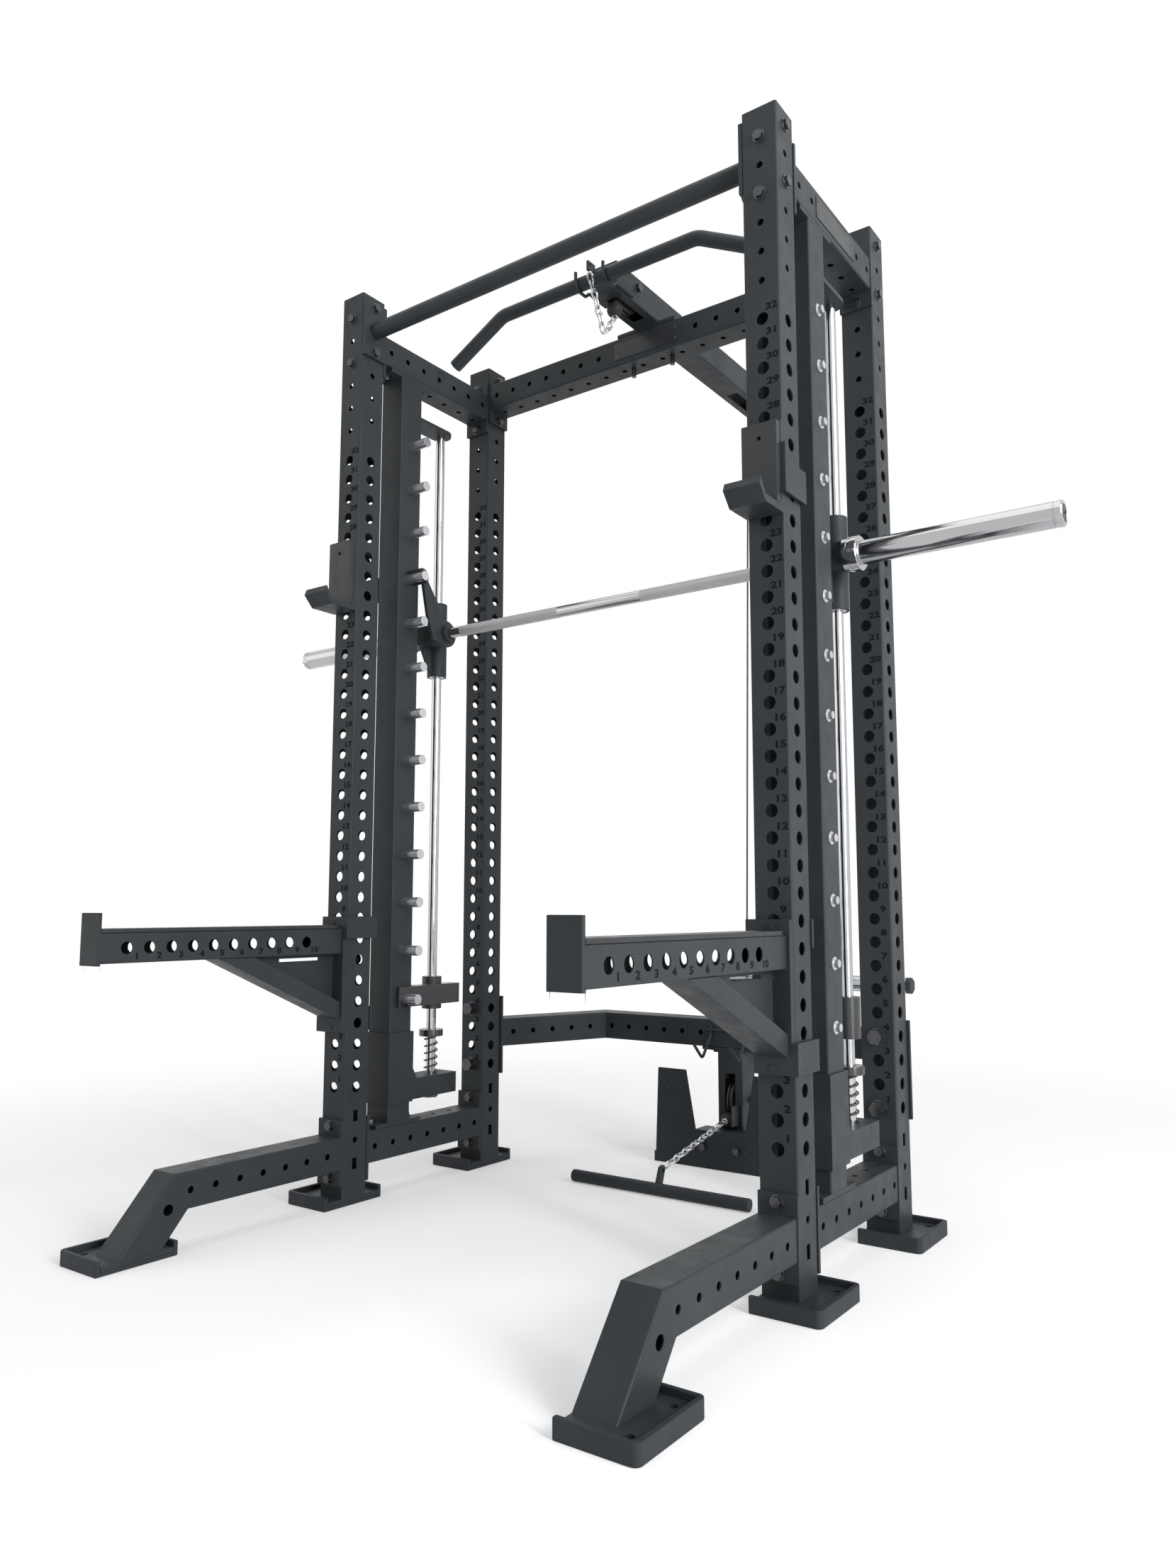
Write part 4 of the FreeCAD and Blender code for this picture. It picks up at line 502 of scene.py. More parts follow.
# ---------------------------------------------------------------- numerals
class Facing(Enum):
    """Which way a numbered face looks, as the turn of text written on it."""

    FRONT = ((1, 0, 0), (0, 0, 1), (0, -1, 0))
    RIGHT = ((0, 1, 0), (0, 0, 1), (1, 0, 0))
    LEFT = ((0, -1, 0), (0, 0, 1), (-1, 0, 0))

    def place(self, at: Vector) -> Matrix:
        """The matrix that stands text at a point of this face.

        Args:
            at: The middle of the text.

        Returns:
            The placing matrix.
        """
        return Matrix.Translation(at) @ Matrix(self.value).transposed().to_4x4()


@dataclass
class Numerals:
    """Plain hole numbers as thin near-black inlays: painted shade that stands for cut-through
    numerals, dark from the shaded inside of the tube.
    """

    height: float = 18.5 * MM
    proud: float = 0.15 * MM
    bold: float = 0.7 * MM
    wide: float = 1.4
    cache: dict[int, bpy.types.Mesh] = field(default_factory=dict)

    def text(self, number: int) -> bpy.types.Mesh:
        """The mesh of a number, lying flat and centred.

        Args:
            number: The number that is written.

        Returns:
            Its mesh, made once.
        """
        if number not in self.cache:
            letters = bpy.data.curves.new(f"numeral {number}", "FONT")
            letters.body = str(number)
            letters.size = self.height
            letters.extrude = self.proud
            letters.offset = self.bold
            letters.resolution_u = 3
            letters.align_x = "CENTER"
            letters.align_y = "CENTER"
            holder = bpy.data.objects.new("numeral", letters)
            bpy.context.scene.collection.objects.link(holder)
            bpy.context.view_layer.update()
            self.cache[number] = bpy.data.meshes.new_from_object(holder)
            self.cache[number].transform(Matrix.Diagonal((self.wide, 1, 1, 1)))
            bpy.data.objects.remove(holder)
            bpy.data.curves.remove(letters)
        return self.cache[number]

    def write(self, shape: bmesh.types.BMesh, number: int, facing: Facing, at: Vector) -> None:
        """Write a number on a face.

        Args:
            shape: The bmesh that takes it.
            number: The number.
            facing: The face it is on.
            at: Its middle, on the face.
        """
        Shapes.add(shape, self.text(number), facing.place(at))


# ---------------------------------------------------------------- the cage
@dataclass
class Uprights(SubAssembly):
    """Four uprights with their hole numbers, feet and rubber boots."""

    title: str = "uprights"
    post_x: float = 577.5 * MM
    tube: float = 75 * MM
    front_y: float = -286 * MM
    bay: float = 490 * MM
    first: float = 270 * MM
    pitch: float = 50 * MM
    count: int = 32
    aside: float = 20 * MM
    above: float = 20.5 * MM
    numerals: Numerals = field(default_factory=Numerals)

    def build(self) -> None:
        """Dress the posts and boots and number each post's front face."""
        names = [f"upright_{row}_{side}" for row in ("front", "back") for side in ("left", "right")]
        self.dress(POWDER, 0.5 * MM, *names, "front_legs")
        self.dress(BOOT, 2.2 * MM, "rubber_boots")
        for row, y in (("front", self.front_y), ("back", self.front_y + self.bay)):
            for side, sign in (("left", -1), ("right", 1)):
                self.number_post(f"numbers_{row}_{side}", sign * self.post_x, y - self.tube / 2)

    def number_post(self, name: str, x: float, y: float) -> None:
        """Write the hole numbers up one post.

        Args:
            name: The piece's name.
            x: The post's middle.
            y: The numbered face.
        """
        shape = bmesh.new()
        for hole in range(self.count):
            at = Vector((x + self.aside, y, self.first + hole * self.pitch + self.above))
            self.numerals.write(shape, hole + 1, Facing.FRONT, at)
        # The numbers are near-black painted shade for the shaded inside seen through the cut-outs.
        self.piece(name, shape, NUMERAL_SHADE, "frame", "frame_paint", smooth=False)


@dataclass
class Beams(SubAssembly):
    """Side beams, crossmember, pull-up bar, rear frame and the bare plates."""

    title: str = "beams"
    rivet: float = 3.2 * MM
    inset: float = 8 * MM
    plate_high: float = 45 * MM
    plate_thick: float = 1.5 * MM

    def build(self) -> None:
        """Dress the beams and put rivets in the bare plates."""
        self.dress(POWDER, 0.5 * MM, "side_beams_lower", "side_beams_upper", "back_crossmember",
                   "pull_up_bar", "rear_frame")
        self.dress(POWDER, 0.0, "bar_cradle")
        self.dress(PLATE, 0.3 * MM, "nameplates")
        self.rivets()

    def rivets(self) -> None:
        """Four domed rivets in each bare plate."""
        low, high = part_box("nameplates")
        cross_low, cross_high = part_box("back_crossmember")
        beam_low, beam_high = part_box("side_beams_upper")
        dome = Shapes.turned([(0, 0), (0, self.rivet), (0.5 * MM, self.rivet * 0.95),
                              (1.1 * MM, self.rivet * 0.6), (1.3 * MM, 0)], 16)
        to_front = Matrix.Rotation(math.radians(-90), 4, "Z")
        beam_y = (beam_low.y + beam_high.y) / 2
        cross_z = (cross_low.z + cross_high.z) / 2
        beam_z = (beam_low.z + beam_high.z) / 2
        front = cross_low.y - self.plate_thick
        reach_across = -low.x - self.inset
        reach_up = self.plate_high / 2 - self.inset
        places = []
        for across in (-reach_across, reach_across):
            for up in (-reach_up, reach_up):
                places.append(Matrix.Translation((across, front, cross_z + up)) @ to_front)
                places.append(Matrix.Translation((high.x, beam_y + across, beam_z + up)))
        shape = bmesh.new()
        Shapes.stamp(shape, dome, *places)
        self.piece("plate_rivets", shape, BOLT, "frame", "nameplate")


@dataclass
class GuidedBar(SubAssembly):
    """Rods, posts, carriage, bar and sleeves of the guided bar."""

    title: str = "guided bar"
    bore: float = 18 * MM
    recess: float = 3 * MM
    wire: float = 2.15 * MM
    wire_facets: int = 10
    coils: int = 5
    coil_facets: int = 32
    press: float = 40 * MM
    sleeve_start: float = 621 * MM
    collar_long: float = 34 * MM
    collar_step: float = 11 * MM
    band: tuple[float, float] = (12 * MM, 18 * MM)
    band_deep: float = 1.5 * MM
    chamfer: float = 2 * MM
    ring_back: float = 16 * MM
    ring_wide: float = 3.6 * MM
    ring_deep: float = 1 * MM
    socket: float = 4 * MM

    def build(self) -> None:
        """Dress the machine, wind its springs and turn its plate sleeves."""
        self.dress(POWDER, 0.7 * MM, "slider_posts", "rod_brackets", "sliders")
        self.dress(STEEL, 0.8 * MM, "hook_pegs", "slider_bearings")
        self.dress(ROD, 0.0, "guide_rods")
        self.dress(KNURLED, 0.5 * MM, "smith_bar_shaft")
        self.dress(POWDER, 0.8 * MM, "hooks")
        self.dress(ZINC, 0.4 * MM, "hook_bolts")
        for side, sign in (("left", -1), ("right", 1)):
            self.dress(SATIN, 0.8 * MM, f"stop_block_{side}")
            self.dress(BOLT, 1.0 * MM, f"bumper_disc_{side}")
            self.spring(side)
            self.sleeve(side, sign)

    def spring(self, side: str) -> None:
        """Wind one bumper spring and hang it on its bumper's body.

        Args:
            side: left or right.
        """
        low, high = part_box(f"bumper_spring_{side}")
        centre = (low + high) / 2
        winding = (high.x - low.x) / 2 - self.wire
        rise = high.z - low.z - 2 * self.wire
        coil = bmesh.new()
        start = Matrix.Translation((centre.x + winding, centre.y, low.z + self.wire))
        upright = Matrix.Rotation(math.radians(90), 4, "X")
        bmesh.ops.create_circle(coil, cap_ends=True, segments=self.wire_facets,
                                radius=self.wire, matrix=start @ upright)
        steps = self.coils * self.coil_facets
        ends = bmesh.ops.spin(coil, geom=coil.verts[:] + coil.edges[:], cent=centre,
                              axis=(0, 0, 1), dvec=(0, 0, rise / steps),
                              angle=self.coils * math.tau, steps=steps)
        rim = [item for item in ends["geom_last"] if isinstance(item, bmesh.types.BMEdge)]
        bmesh.ops.contextual_create(coil, geom=rim)
        Shapes.close(coil)
        made = self.piece(f"bumper_coil_{side}", coil, SPRING, f"bumper_{side}", "spring_steel")
        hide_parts(f"bumper_spring_{side}")
        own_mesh(made)

    def sleeve(self, side: str, sign: int) -> None:
        """Turn one plate sleeve with its collar, grooves and sunk end.

        Args:
            side: left or right.
            sign: -1 or 1 along x.
        """
        low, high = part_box("bar_sleeves")
        bar_low, bar_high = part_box("smith_bar_shaft")
        bar = (bar_high.z - bar_low.z) / 2
        centre = Vector((0, (low.y + high.y) / 2, (low.z + high.z) / 2))
        place = Matrix.Translation(centre) @ Matrix.Scale(sign, 4, (1, 0, 0))
        sleeve = self.sleeve_outline(high.x, (high.z - low.z) / 2, bar)
        made = self.piece(f"sleeve_{side}", self.laid(sleeve, 96, place), CHROME, "smith_bar",
                          "bar_chrome")
        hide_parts("bar_sleeves")
        cap = self.laid(self.cap_outline(high.x), 48, place)
        self.piece(f"sleeve_cap_{side}", cap, BOLT, "smith_bar", "fastener")

    @staticmethod
    def laid(outline: list[tuple[float, float]], steps: int, place: Matrix) -> bmesh.types.BMesh:
        """Turn an outline about x and lay it in its place.

        Args:
            outline: Its (along x, radius) points.
            steps: Facets round the axis.
            place: Where it goes; it may be mirrored.

        Returns:
            The placed shape.
        """
        shape = Shapes.turned(outline, steps)
        bmesh.ops.transform(shape, matrix=place, verts=shape.verts)
        bmesh.ops.recalc_face_normals(shape, faces=shape.faces)
        return shape

    def sleeve_outline(self, end: float, collar: float, bar: float) -> list[tuple[float, float]]:
        """Outline of a sleeve: a collar with a band, and a tube with a ring near its end.

        Args:
            end: How far out the sleeve ends.
            collar: The collar's radius.
            bar: The bar's radius.

        Returns:
            Its (along x, radius) points.
        """
        start, edge, slope = self.sleeve_start, self.chamfer, 1 * MM
        first, last = start + self.band[0], start + self.band[1]
        band = collar - self.band_deep
        shoulder = start + self.collar_long
        tube = collar - self.collar_step
        ring, ring_end = end - self.ring_back, end - self.ring_back + self.ring_wide
        ring_slope = 0.6 * MM
        floor = tube - self.ring_deep
        lip = 0.5 * MM
        return [(start, bar), (start, collar - edge), (start + edge, collar),
                (first, collar), (first + slope, band), (last - slope, band), (last, collar),
                (shoulder - edge, collar), (shoulder, collar - edge),
                (shoulder, tube + slope), (shoulder + slope, tube),
                (ring, tube), (ring + ring_slope, floor), (ring_end - ring_slope, floor),
                (ring_end, tube), (end - edge, tube), (end, tube - edge),
                (end, self.bore + lip), (end - lip, self.bore),
                (end - self.recess, self.bore), (end - self.recess, bar)]

    def cap_outline(self, end: float) -> list[tuple[float, float]]:
        """Outline of the sunk cap in a sleeve's end, with its screw's round head.

        Args:
            end: How far out the sleeve ends.

        Returns:
            Its (along x, radius) points.
        """
        seat, face, head = end - self.recess, end - 0.5 * MM, end - 1 * MM
        return [(end - 9 * MM, 0), (end - 9 * MM, self.bore), (seat + 0.6 * MM, self.bore),
                (seat + 0.6 * MM, 12 * MM), (seat, 11 * MM), (seat, 9 * MM),
                (head, 8.4 * MM), (face, 7.5 * MM), (face, self.socket),
                (seat, self.socket), (seat, 0)]


@dataclass
class CupsAndArms(SubAssembly):
    """Bar cups and safety arms with their liners and hole numbers."""

    title: str = "cups and arms"
    first_y: float = -891 * MM
    pitch: float = 50 * MM
    count: int = 10
    arm_x: float = 577.5 * MM
    arm_half: float = 30 * MM
    hole_z: float = 615 * MM
    aside: float = 22 * MM
    below: float = 17 * MM
    numerals: Numerals = field(default_factory=lambda: Numerals(height=17 * MM))

    def build(self) -> None:
        """Dress cups and arms and number the arms' holes."""
        for side, sign in (("left", -1), ("right", 1)):
            self.dress(POWDER, 0.8 * MM, f"cup_{side}", f"arm_{side}")
            self.dress(LINER, 1.2 * MM, f"cup_liner_{side}", f"arm_liner_{side}")
            self.number_arm(side, sign * self.arm_x)

    def number_arm(self, side: str, x: float) -> None:
        """Write the hole numbers along both faces of one arm.

        Args:
            side: left or right.
            x: The arm's middle.
        """
        shape = bmesh.new()
        for hole in range(self.count):
            y = self.first_y + hole * self.pitch
            z = self.hole_z - self.below
            for facing, way in ((Facing.RIGHT, 1), (Facing.LEFT, -1)):
                at = Vector((x + way * self.arm_half, y + way * self.aside, z))
                self.numerals.write(shape, hole + 1, facing, at)
        # The arm's numbers are in the same near-black painted shade as the posts' numerals.
        self.piece(f"arm_numbers_{side}", shape, NUMERAL_SHADE, f"arm_{side}", "frame_paint", smooth=False)


# ---------------------------------------------------------------- chains
@dataclass
class Chain:
    """Straight runs of welded links, each turned a quarter from the last."""

    wire: float = 5 * MM
    inner_wide: float = 8 * MM
    inner_long: float = 22 * MM
    around: int = 8
    bend_steps: int = 5

    def link(self) -> bmesh.types.BMesh:
        """One oval link that stands along z.

        Returns:
            The link.
        """
        made = bmesh.new()
        reach = (self.inner_wide + self.wire) / 2
        straight = (self.inner_long - self.inner_wide) / 2
        start = Matrix.Translation((reach, 0, -straight))
        bmesh.ops.create_circle(made, segments=self.around, radius=self.wire / 2, matrix=start)
        rim = made.edges[:]
        for turn in (1, -1):
            grown = bmesh.ops.extrude_edge_only(made, edges=rim)["geom"]
            top = [item for item in grown if isinstance(item, bmesh.types.BMVert)]
            bmesh.ops.translate(made, verts=top, vec=(0, 0, turn * 2 * straight))
            rim = [item for item in grown if isinstance(item, bmesh.types.BMEdge)]
            bend = bmesh.ops.spin(made, geom=top + rim, cent=(0, 0, turn * straight),
                                  axis=(0, 1, 0), dvec=(0, 0, 0), angle=-math.pi,
                                  steps=self.bend_steps)
            rim = [item for item in bend["geom_last"] if isinstance(item, bmesh.types.BMEdge)]
        Shapes.close(made, 0.01 * MM)
        return made

    def run(self, shape: bmesh.types.BMesh, start: Vector, end: Vector, first: int = 0) -> int:
        """Lay links from one point to another.

        Args:
            shape: The bmesh that takes them.
            start: The first link's near end.
            end: The last link's far end.
            first: How many links came before, for the quarter turns.

        Returns:
            How many links there are so far.
        """
        along = end - start
        count = max(1, round((along.length - self.wire) / self.inner_long))
        step = (along.length - 2 * self.wire - self.inner_long) / max(1, count - 1)
        turn = along.to_track_quat("Z", "Y").to_matrix().to_4x4()
        places = []
        for number in range(count):
            middle = self.wire + self.inner_long / 2 + number * step
            roll = Matrix.Rotation(math.radians(90 * (first + number)), 4, "Z")
            places.append(Matrix.Translation(start + along.normalized() * middle) @ turn @ roll)
        Shapes.stamp(shape, self.link(), *places)
        return first + count


def ball_rings(node: str, ahead: Vector) -> bmesh.types.BMesh:
    """Two thin steel washers that close a stop ball, one at each end of its cable hole.

    Args:
        node: The ball's node.
        ahead: The direction of the cable from the ball.

    Returns:
        Both washers.
    """
    low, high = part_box(node)
    centre, radius = (low + high) / 2, (high.z - low.z) / 2
    hole, thick = 3 * MM, 1 * MM
    shape = bmesh.new()
    for side, reach in ((1, 0.62), (-1, 0.4)):
        seat = math.sqrt(1 - reach * reach) * radius
        rim = reach * radius
        ring = Shapes.turned([(seat - thick, hole), (seat - thick, rim), (seat + 0.6 * MM, rim),
                              (seat + thick, rim - 0.5 * MM), (seat + thick, hole)], 32)
        turn = Vector((1, 0, 0)).rotation_difference(side * ahead).to_matrix().to_4x4()
        Shapes.stamp(shape, ring, Matrix.Translation(centre) @ turn)
    return shape


@dataclass
class HighStation(SubAssembly):
    """High beam, pulleys, lat bar and its chain."""

    title: str = "high station"
    chain: Chain = field(default_factory=Chain)
    cable: float = 2.5 * MM
    lift: float = 350 * MM

    def build(self) -> None:
        """Dress the station, run its falls and link its chain."""
        self.dress(POWDER, 0.6 * MM, "high_beam")
        self.dress(POWDER, 0.0, "lat_bar")
        self.dress(NYLON, 0.6 * MM, "pulley_front", "pulley_back", "pulley_riser")
        self.dress(CABLE, 0.0, "lat_cable")
        self.falls()
        self.dress(RUBBER, 0.0, "lat_stop_ball")
        self.chains()

    def falls(self) -> None:
        """Run both falls of the cable as fixed tubes on the frame."""
        low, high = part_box("falls")
        length = high.z - low.z
        shape = bmesh.new()
        for y in (low.y + self.cable, high.y - self.cable):
            place = Matrix.Translation((0, y, (low.z + high.z) / 2))
            bmesh.ops.create_cone(shape, cap_ends=True, segments=12, radius1=self.cable,
                                  radius2=self.cable, depth=length, matrix=place)
        made = self.piece("cable_falls", shape, CABLE, "frame", "cable")
        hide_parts("falls")
        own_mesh(made)

    def chains(self) -> None:
        """Hang the chain from the bar down and back up to the stop ball."""
        low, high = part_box("lat_chain_long")
        near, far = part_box("lat_chain_short")
        half = self.chain.wire / 2
        bottom = Vector((0, high.y, low.z + half))
        top = Vector((0, low.y + half, high.z))
        shape = bmesh.new()
        laid = self.chain.run(shape, top, bottom)
        made = self.piece("lat_chain_bar_side", shape, ZINC, "frame", "chain")
        made.parent = None
        made.matrix_world = Matrix.Identity(4)
        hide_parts("lat_chain_long")
        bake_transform(made)
        shape = bmesh.new()
        ball = Vector((0, far.y - half, far.z))
        self.chain.run(shape, Vector((0, near.y, near.z + half)), ball, laid + 1)
        made = self.piece("lat_chain_ball_side", shape, ZINC, "frame", "chain")
        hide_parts("lat_chain_short")
        rings = ball_rings("lat_stop_ball", Vector((0, 0, 1)))
        self.piece("lat_ball_rings", rings, ZINC, "frame", "chain")


@dataclass
class LowStation(SubAssembly):
    """Low pulley post, tread plate, row bar and the plate-loaded carriage."""

    title: str = "low station"
    chain: Chain = field(default_factory=Chain)
    tread_long: float = 25 * MM
    tread_wide: float = 6.5 * MM
    tread_high: float = 1.5 * MM
    tread_pitch: float = 21 * MM
    tread_clear: float = 8 * MM
    tread_shift: tuple[float, float] = (0.3, 0.5)
    tread_lean: float = 45.0
    probe: float = 50 * MM
    flat_within: float = 0.1 * MM

    def build(self) -> None:
        """Dress the station, raise the plate's tread and link the row chain."""
        self.dress(POWDER, 0.6 * MM, "low_row_post", "foot_plate", "weight_carriage")
        self.dress(POWDER, 1.2 * MM, "row_bar")
        self.dress(CHROME, 1.0 * MM, "weight_horns")
        self.dress(RUBBER, 1.2 * MM, "horn_caps")
        self.dress(NYLON, 0.6 * MM, "pulley_low", "pulley_float")
        self.dress(CABLE, 0.0, "row_cable", "float_wrap")
        self.dress(RUBBER, 0.0, "row_stop_ball")
        self.row_chain()
        self.tread()

    def row_chain(self) -> None:
        """Link the chain from the stop ball to the row bar's lug."""
        low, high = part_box("row_chain")
        shape = bmesh.new()
        half = self.chain.wire / 2
        start = Vector((0, high.y, high.z - half))
        end = Vector((0, low.y, low.z + half))
        self.chain.run(shape, start, end)
        made = self.piece("row_chain_links", shape, ZINC, "row_handle", "chain")
        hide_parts("row_chain")
        rings = ball_rings("row_stop_ball", Vector((0, 1, 0)))
        self.piece("row_ball_rings", rings, ZINC, "row_handle", "chain")

    def lozenge(self) -> bmesh.types.BMesh:
        """One raised lozenge of the tread, lying along x and facing -y.

        Returns:
            Its shape.
        """
        made = bmesh.new()
        bmesh.ops.create_circle(made, cap_ends=True, segments=8, radius=0.5)
        top = bmesh.ops.extrude_face_region(made, geom=made.faces[:])["geom"]
        raised = [item for item in top if isinstance(item, bmesh.types.BMVert)]
        bmesh.ops.scale(made, vec=(0.72, 0.5, 1), verts=raised)
        bmesh.ops.translate(made, vec=(0, 0, 1), verts=raised)
        bmesh.ops.recalc_face_normals(made, faces=made.faces)
        size = Matrix.Diagonal((self.tread_long, self.tread_wide, self.tread_high, 1))
        upright = Matrix.Rotation(math.radians(90), 4, "X")
        bmesh.ops.transform(made, matrix=upright @ size, verts=made.verts)
        return made

    def tread(self) -> None:
        """Cover the foot plate's front with lozenges, leaving out its holes and edges."""
        low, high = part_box("foot_plate")
        solid = Shapes.of_node("foot_plate")
        surface = BVHTree.FromBMesh(solid)
        solid.free()
        clear, ahead, away = self.tread_clear, Vector((0, 1, 0)), Vector((0, self.probe, 0))
        places = []
        for column in range(int((high.x - low.x) / self.tread_pitch) + 1):
            for row in range(int((high.z - low.z) / self.tread_pitch) + 1):
                x = low.x + (column + self.tread_shift[0]) * self.tread_pitch
                z = low.z + (row + self.tread_shift[1]) * self.tread_pitch
                tips = [Vector((x + across, low.y, z + up)) for across in (-clear, 0, clear)
                        for up in (-clear, 0, clear)]
                hits = [surface.ray_cast(tip - away, ahead)[0] for tip in tips]
                if any(hit is None or abs(hit.y - low.y) > self.flat_within for hit in hits):
                    continue
                lean = self.tread_lean if (column + row) % 2 else -self.tread_lean
                turn = Matrix.Rotation(math.radians(lean), 4, "Y")
                places.append(Matrix.Translation((x, low.y, z)) @ turn)
        shape = bmesh.new()
        Shapes.stamp(shape, self.lozenge(), *places)
        self.piece("foot_plate_tread", shape, POWDER, "frame", "frame_paint", smooth=False)


@dataclass
class Fasteners(SubAssembly):
    """All bolts, with a washer under each hexagon head, and the pulleys' bearings."""

    title: str = "fasteners"
    HEX = 2 / math.sqrt(3)
    HEX_SLACK = 0.01
    HEAD_REACH = 0.49
    LONGEST_HEAD = 0.8
    HOLE_SHARE = 0.6
    margin: float = 2 * MM
    thick: float = 2.4 * MM
    bearing: float = 13 * MM
    axle: float = 6.5 * MM

    def build(self) -> None:
        """Dress the bolts, slip washers under them and close the pulleys' hubs."""
        self.dress(BOLT, 0.7 * MM, "frame_fasteners")
        shape = bmesh.new()
        count = 0
        for points in self.islands("frame_fasteners"):
            place = self.seat(points)
            if place is None:
                continue
            matrix, corner = place
            hole = corner * self.HOLE_SHARE
            ring = Shapes.turned([(0, hole), (0, corner + self.margin),
                                  (self.thick - 0.5 * MM, corner + self.margin),
                                  (self.thick, corner + self.margin - 0.6 * MM),
                                  (self.thick, hole)], 32)
            Shapes.stamp(shape, ring, matrix)
            count += 1
        self.piece("washers", shape, BOLT, "frame", "fastener")
        log.info("%s: %d washers", self.title, count)
        for name in ("front", "back", "riser", "low", "float"):
            self.hub(name)

    def hub(self, name: str) -> None:
        """Steel bearing rings on both sides of a pulley.

        Args:
            name: The pulley's own name.
        """
        low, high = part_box(f"pulley_{name}")
        centre = (low + high) / 2
        face, proud, sunk = high.x, high.x + 0.8 * MM, high.x + 0.3 * MM
        ring = Shapes.turned([(face - 2 * MM, self.axle), (face - 2 * MM, self.bearing),
                              (face + 0.4 * MM, self.bearing), (proud, self.bearing - 0.8 * MM),
                              (proud, 8.5 * MM), (sunk, 8 * MM), (sunk, self.axle)], 32)
        shape = bmesh.new()
        Shapes.stamp(shape, ring, *(Matrix.Translation(centre) @ Matrix.Rotation(turn, 4, "Z")
                                    for turn in (0, math.pi)))
        self.piece(f"bearing_{name}", shape, STEEL, f"{name}_wheel", "pulley")

    @staticmethod
    def islands(node: str) -> list[list[Vector]]:
        """The corner points of each separate solid of a CAD node.

        Args:
            node: The node's name.

        Returns:
            One list of points for each solid.
        """
        solid = Shapes.of_node(node)
        seen: set[int] = set()
        groups = []
        for start in solid.verts:
            if start.index in seen:
                continue
            seen.add(start.index)
            waiting, points = [start], []
            while waiting:
                vert = waiting.pop()
                points.append(vert.co.copy())
                for edge in vert.link_edges:
                    other = edge.other_vert(vert)
                    if other.index not in seen:
                        seen.add(other.index)
                        waiting.append(other)
            groups.append(points)
        solid.free()
        return groups

    def seat(self, points: list[Vector]) -> tuple[Matrix, float] | None:
        """Where the washer of a hexagon bolt goes.

        Args:
            points: The bolt's corner points.

        Returns:
            The washer's place and the head's corner radius, or None for any other fastener.
        """
        low = Vector([min(p[k] for p in points) for k in range(3)])
        high = Vector([max(p[k] for p in points) for k in range(3)])
        size, middle = high - low, (low + high) / 2
        for axis in range(3):
            others = [k for k in range(3) if k != axis]
            small, large = sorted(size[k] for k in others)
            if abs(large / small - self.HEX) > self.HEX_SLACK:
                continue
            head = [p[axis] for p in points
                    if math.hypot(*(p[k] - middle[k] for k in others)) > self.HEAD_REACH * small]
            span = (min(head), max(head))
            if span[1] - span[0] > self.LONGEST_HEAD * size[axis]:
                return None
            out = 1 if high[axis] - span[1] < span[0] - low[axis] else -1
            at = middle.copy()
            at[axis] = span[0] if out > 0 else span[1]
            ahead = Vector([out if k == axis else 0 for k in range(3)])
            turn = Vector((1, 0, 0)).rotation_difference(ahead).to_matrix().to_4x4()
            return Matrix.Translation(at) @ turn, large / 2
        return None


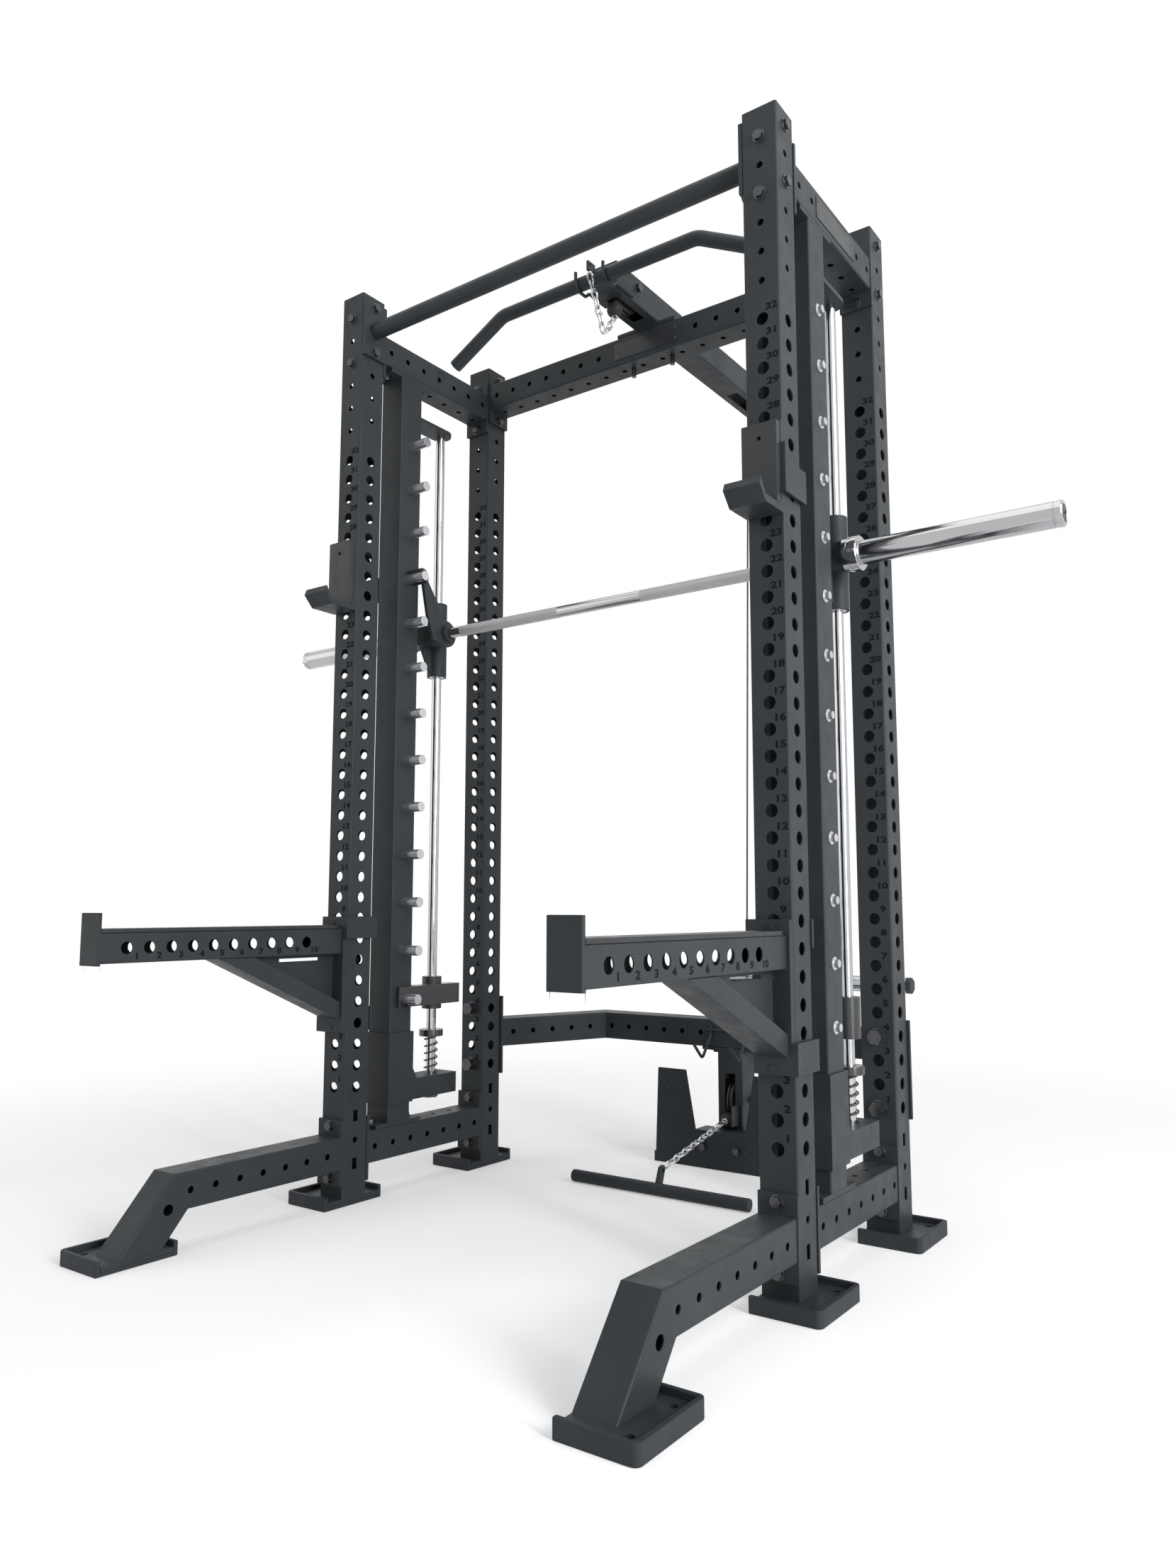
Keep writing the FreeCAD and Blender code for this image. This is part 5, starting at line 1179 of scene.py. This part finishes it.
# ---------------------------------------------------------------- studio
@dataclass
class Studio:
    """Pale floor that fades to white, soft lamps and the camera."""

    camera_at: tuple[float, float, float] = (1.46605, -2.13952, 0.69267)
    camera_up: float = 6.4716
    camera_turn: float = 35.604
    lens: float = 25.167
    sensor: float = 36.0
    clip_end: float = 100.0
    floor_colour: float = 0.9
    floor_lift: float = 0.3
    floor_size: float = 14.0
    fade: tuple[float, float] = (1.0, 3.2)
    sky: tuple[float, float, float] = (0.95, 0.97, 1.0)
    sky_strength: float = 0.36
    aim: tuple[float, float, float] = (0.0, 0.0, 1.1)

    def build(self) -> None:
        """Make the camera, the world, the floor and the lamps."""
        self.camera()
        self.world()
        self.floor()
        self.lamp("key", at=(4.6, -0.6, 2.9), size=3.0, power=120.0)
        self.lamp("top", at=(-0.4, -0.6, 5.2), size=4.5, power=50.0)
        self.lamp("fill", at=(-3.8, -3.4, 2.4), size=3.0, power=18.0)
        self.lamp("strip", at=(4.7, -1.8, 1.5), size=0.6, power=120.0, tall=2.8)
        bpy.context.scene.view_settings.view_transform = "Standard"

    def camera(self) -> None:
        """Stand the camera at its viewing angle."""
        data = bpy.data.cameras.new("camera")
        data.lens = self.lens
        data.sensor_width = self.sensor
        data.clip_end = self.clip_end
        made = bpy.data.objects.new("camera", data)
        made.location = self.camera_at
        made.rotation_euler = (math.radians(90 + self.camera_up), 0, math.radians(self.camera_turn))
        bpy.context.scene.collection.objects.link(made)
        bpy.context.scene.camera = made

    @staticmethod
    def seen(tree: bpy.types.NodeTree) -> bpy.types.NodeSocket:
        """A socket that is 1 for rays that show the background.

        Args:
            tree: The node tree it is added to.

        Returns:
            The largest of Is Camera, Is Glossy and Is Transmission Ray.
        """
        rays = tree.nodes.new("ShaderNodeLightPath").outputs
        shown = math_node(tree, "MAXIMUM", rays["Is Camera Ray"], rays["Is Glossy Ray"])
        return math_node(tree, "MAXIMUM", shown, rays["Is Transmission Ray"])

    def world(self) -> None:
        """A soft sky that shows as white."""
        world = bpy.data.worlds.new("studio")
        world.use_nodes = True
        tree = world.node_tree
        light = tree.nodes["Background"]
        light.inputs["Color"].default_value = self.sky + (1.0,)
        light.inputs["Strength"].default_value = self.sky_strength
        white = tree.nodes.new("ShaderNodeBackground")
        white.inputs["Color"].default_value = (1.0, 1.0, 1.0, 1.0)
        white.inputs["Strength"].default_value = 1.0
        mix = tree.nodes.new("ShaderNodeMixShader")
        tree.links.new(self.seen(tree), mix.inputs["Fac"])
        tree.links.new(light.outputs[0], mix.inputs[1])
        tree.links.new(white.outputs[0], mix.inputs[2])
        tree.links.new(mix.outputs[0], tree.nodes["World Output"].inputs["Surface"])
        bpy.context.scene.world = world

    def floor(self) -> None:
        """A round pale floor whose far part is seen as white."""
        shape = bmesh.new()
        bmesh.ops.create_circle(shape, cap_ends=True, segments=96, radius=self.floor_size)
        made = bpy.data.objects.new("floor", Shapes.mesh(shape, "floor"))
        bpy.context.scene.collection.objects.link(made)
        paint = bpy.data.materials.new("studio floor")
        paint.use_nodes = True
        tree = paint.node_tree
        tree.nodes.remove(tree.nodes["Principled BSDF"])
        near = tree.nodes.new("ShaderNodeBsdfDiffuse")
        near.inputs["Color"].default_value = (self.floor_colour,) * 3 + (1.0,)
        lift = tree.nodes.new("ShaderNodeEmission")
        shown = self.seen(tree)
        tree.links.new(math_node(tree, "MULTIPLY", shown, self.floor_lift),
                       lift.inputs["Strength"])
        lifted = tree.nodes.new("ShaderNodeAddShader")
        tree.links.new(near.outputs[0], lifted.inputs[0])
        tree.links.new(lift.outputs[0], lifted.inputs[1])
        far = tree.nodes.new("ShaderNodeEmission")
        distance = tree.nodes.new("ShaderNodeVectorMath")
        distance.operation = "LENGTH"
        place = tree.nodes.new("ShaderNodeTexCoord").outputs["Object"]
        tree.links.new(place, distance.inputs[0])
        fade = tree.nodes.new("ShaderNodeMapRange")
        fade.interpolation_type = "SMOOTHSTEP"
        fade.inputs["From Min"].default_value = self.fade[0]
        fade.inputs["From Max"].default_value = self.fade[1]
        tree.links.new(distance.outputs["Value"], fade.inputs["Value"])
        mix = tree.nodes.new("ShaderNodeMixShader")
        tree.links.new(math_node(tree, "MULTIPLY", fade.outputs["Result"], shown),
                       mix.inputs["Fac"])
        tree.links.new(lifted.outputs[0], mix.inputs[1])
        tree.links.new(far.outputs[0], mix.inputs[2])
        tree.links.new(mix.outputs[0], tree.nodes["Material Output"].inputs["Surface"])
        made.data.materials.append(paint)

    def lamp(self, name: str, at: tuple[float, float, float], size: float, power: float,
             tall: float = 0.0) -> None:
        """A soft lamp that looks at the middle of the cage.

        Args:
            name: The lamp's name.
            at: Where it hangs, in metres.
            size: Its side, in metres.
            power: Its power, in watts.
            tall: Its height where it is not square, in metres.
        """
        data = bpy.data.lights.new(name, "AREA")
        data.size = size
        if tall > 0:
            data.shape = "RECTANGLE"
            data.size_y = tall
        data.energy = power
        made = bpy.data.objects.new(name, data)
        made.location = at
        aim = Vector(self.aim) - Vector(at)
        made.rotation_euler = aim.to_track_quat("-Z", "Y").to_euler()
        bpy.context.scene.collection.objects.link(made)


def main() -> None:
    """Build the studio and every sub-assembly in order."""
    logging.basicConfig(level=logging.INFO, format="%(message)s")
    Studio().build()
    for group in (Uprights(), Beams(), GuidedBar(), CupsAndArms(), HighStation(), LowStation(),
                  Fasteners()):
        group.build()
        log.info("%s: done", group.title)


if __name__ == "__main__":
    main()
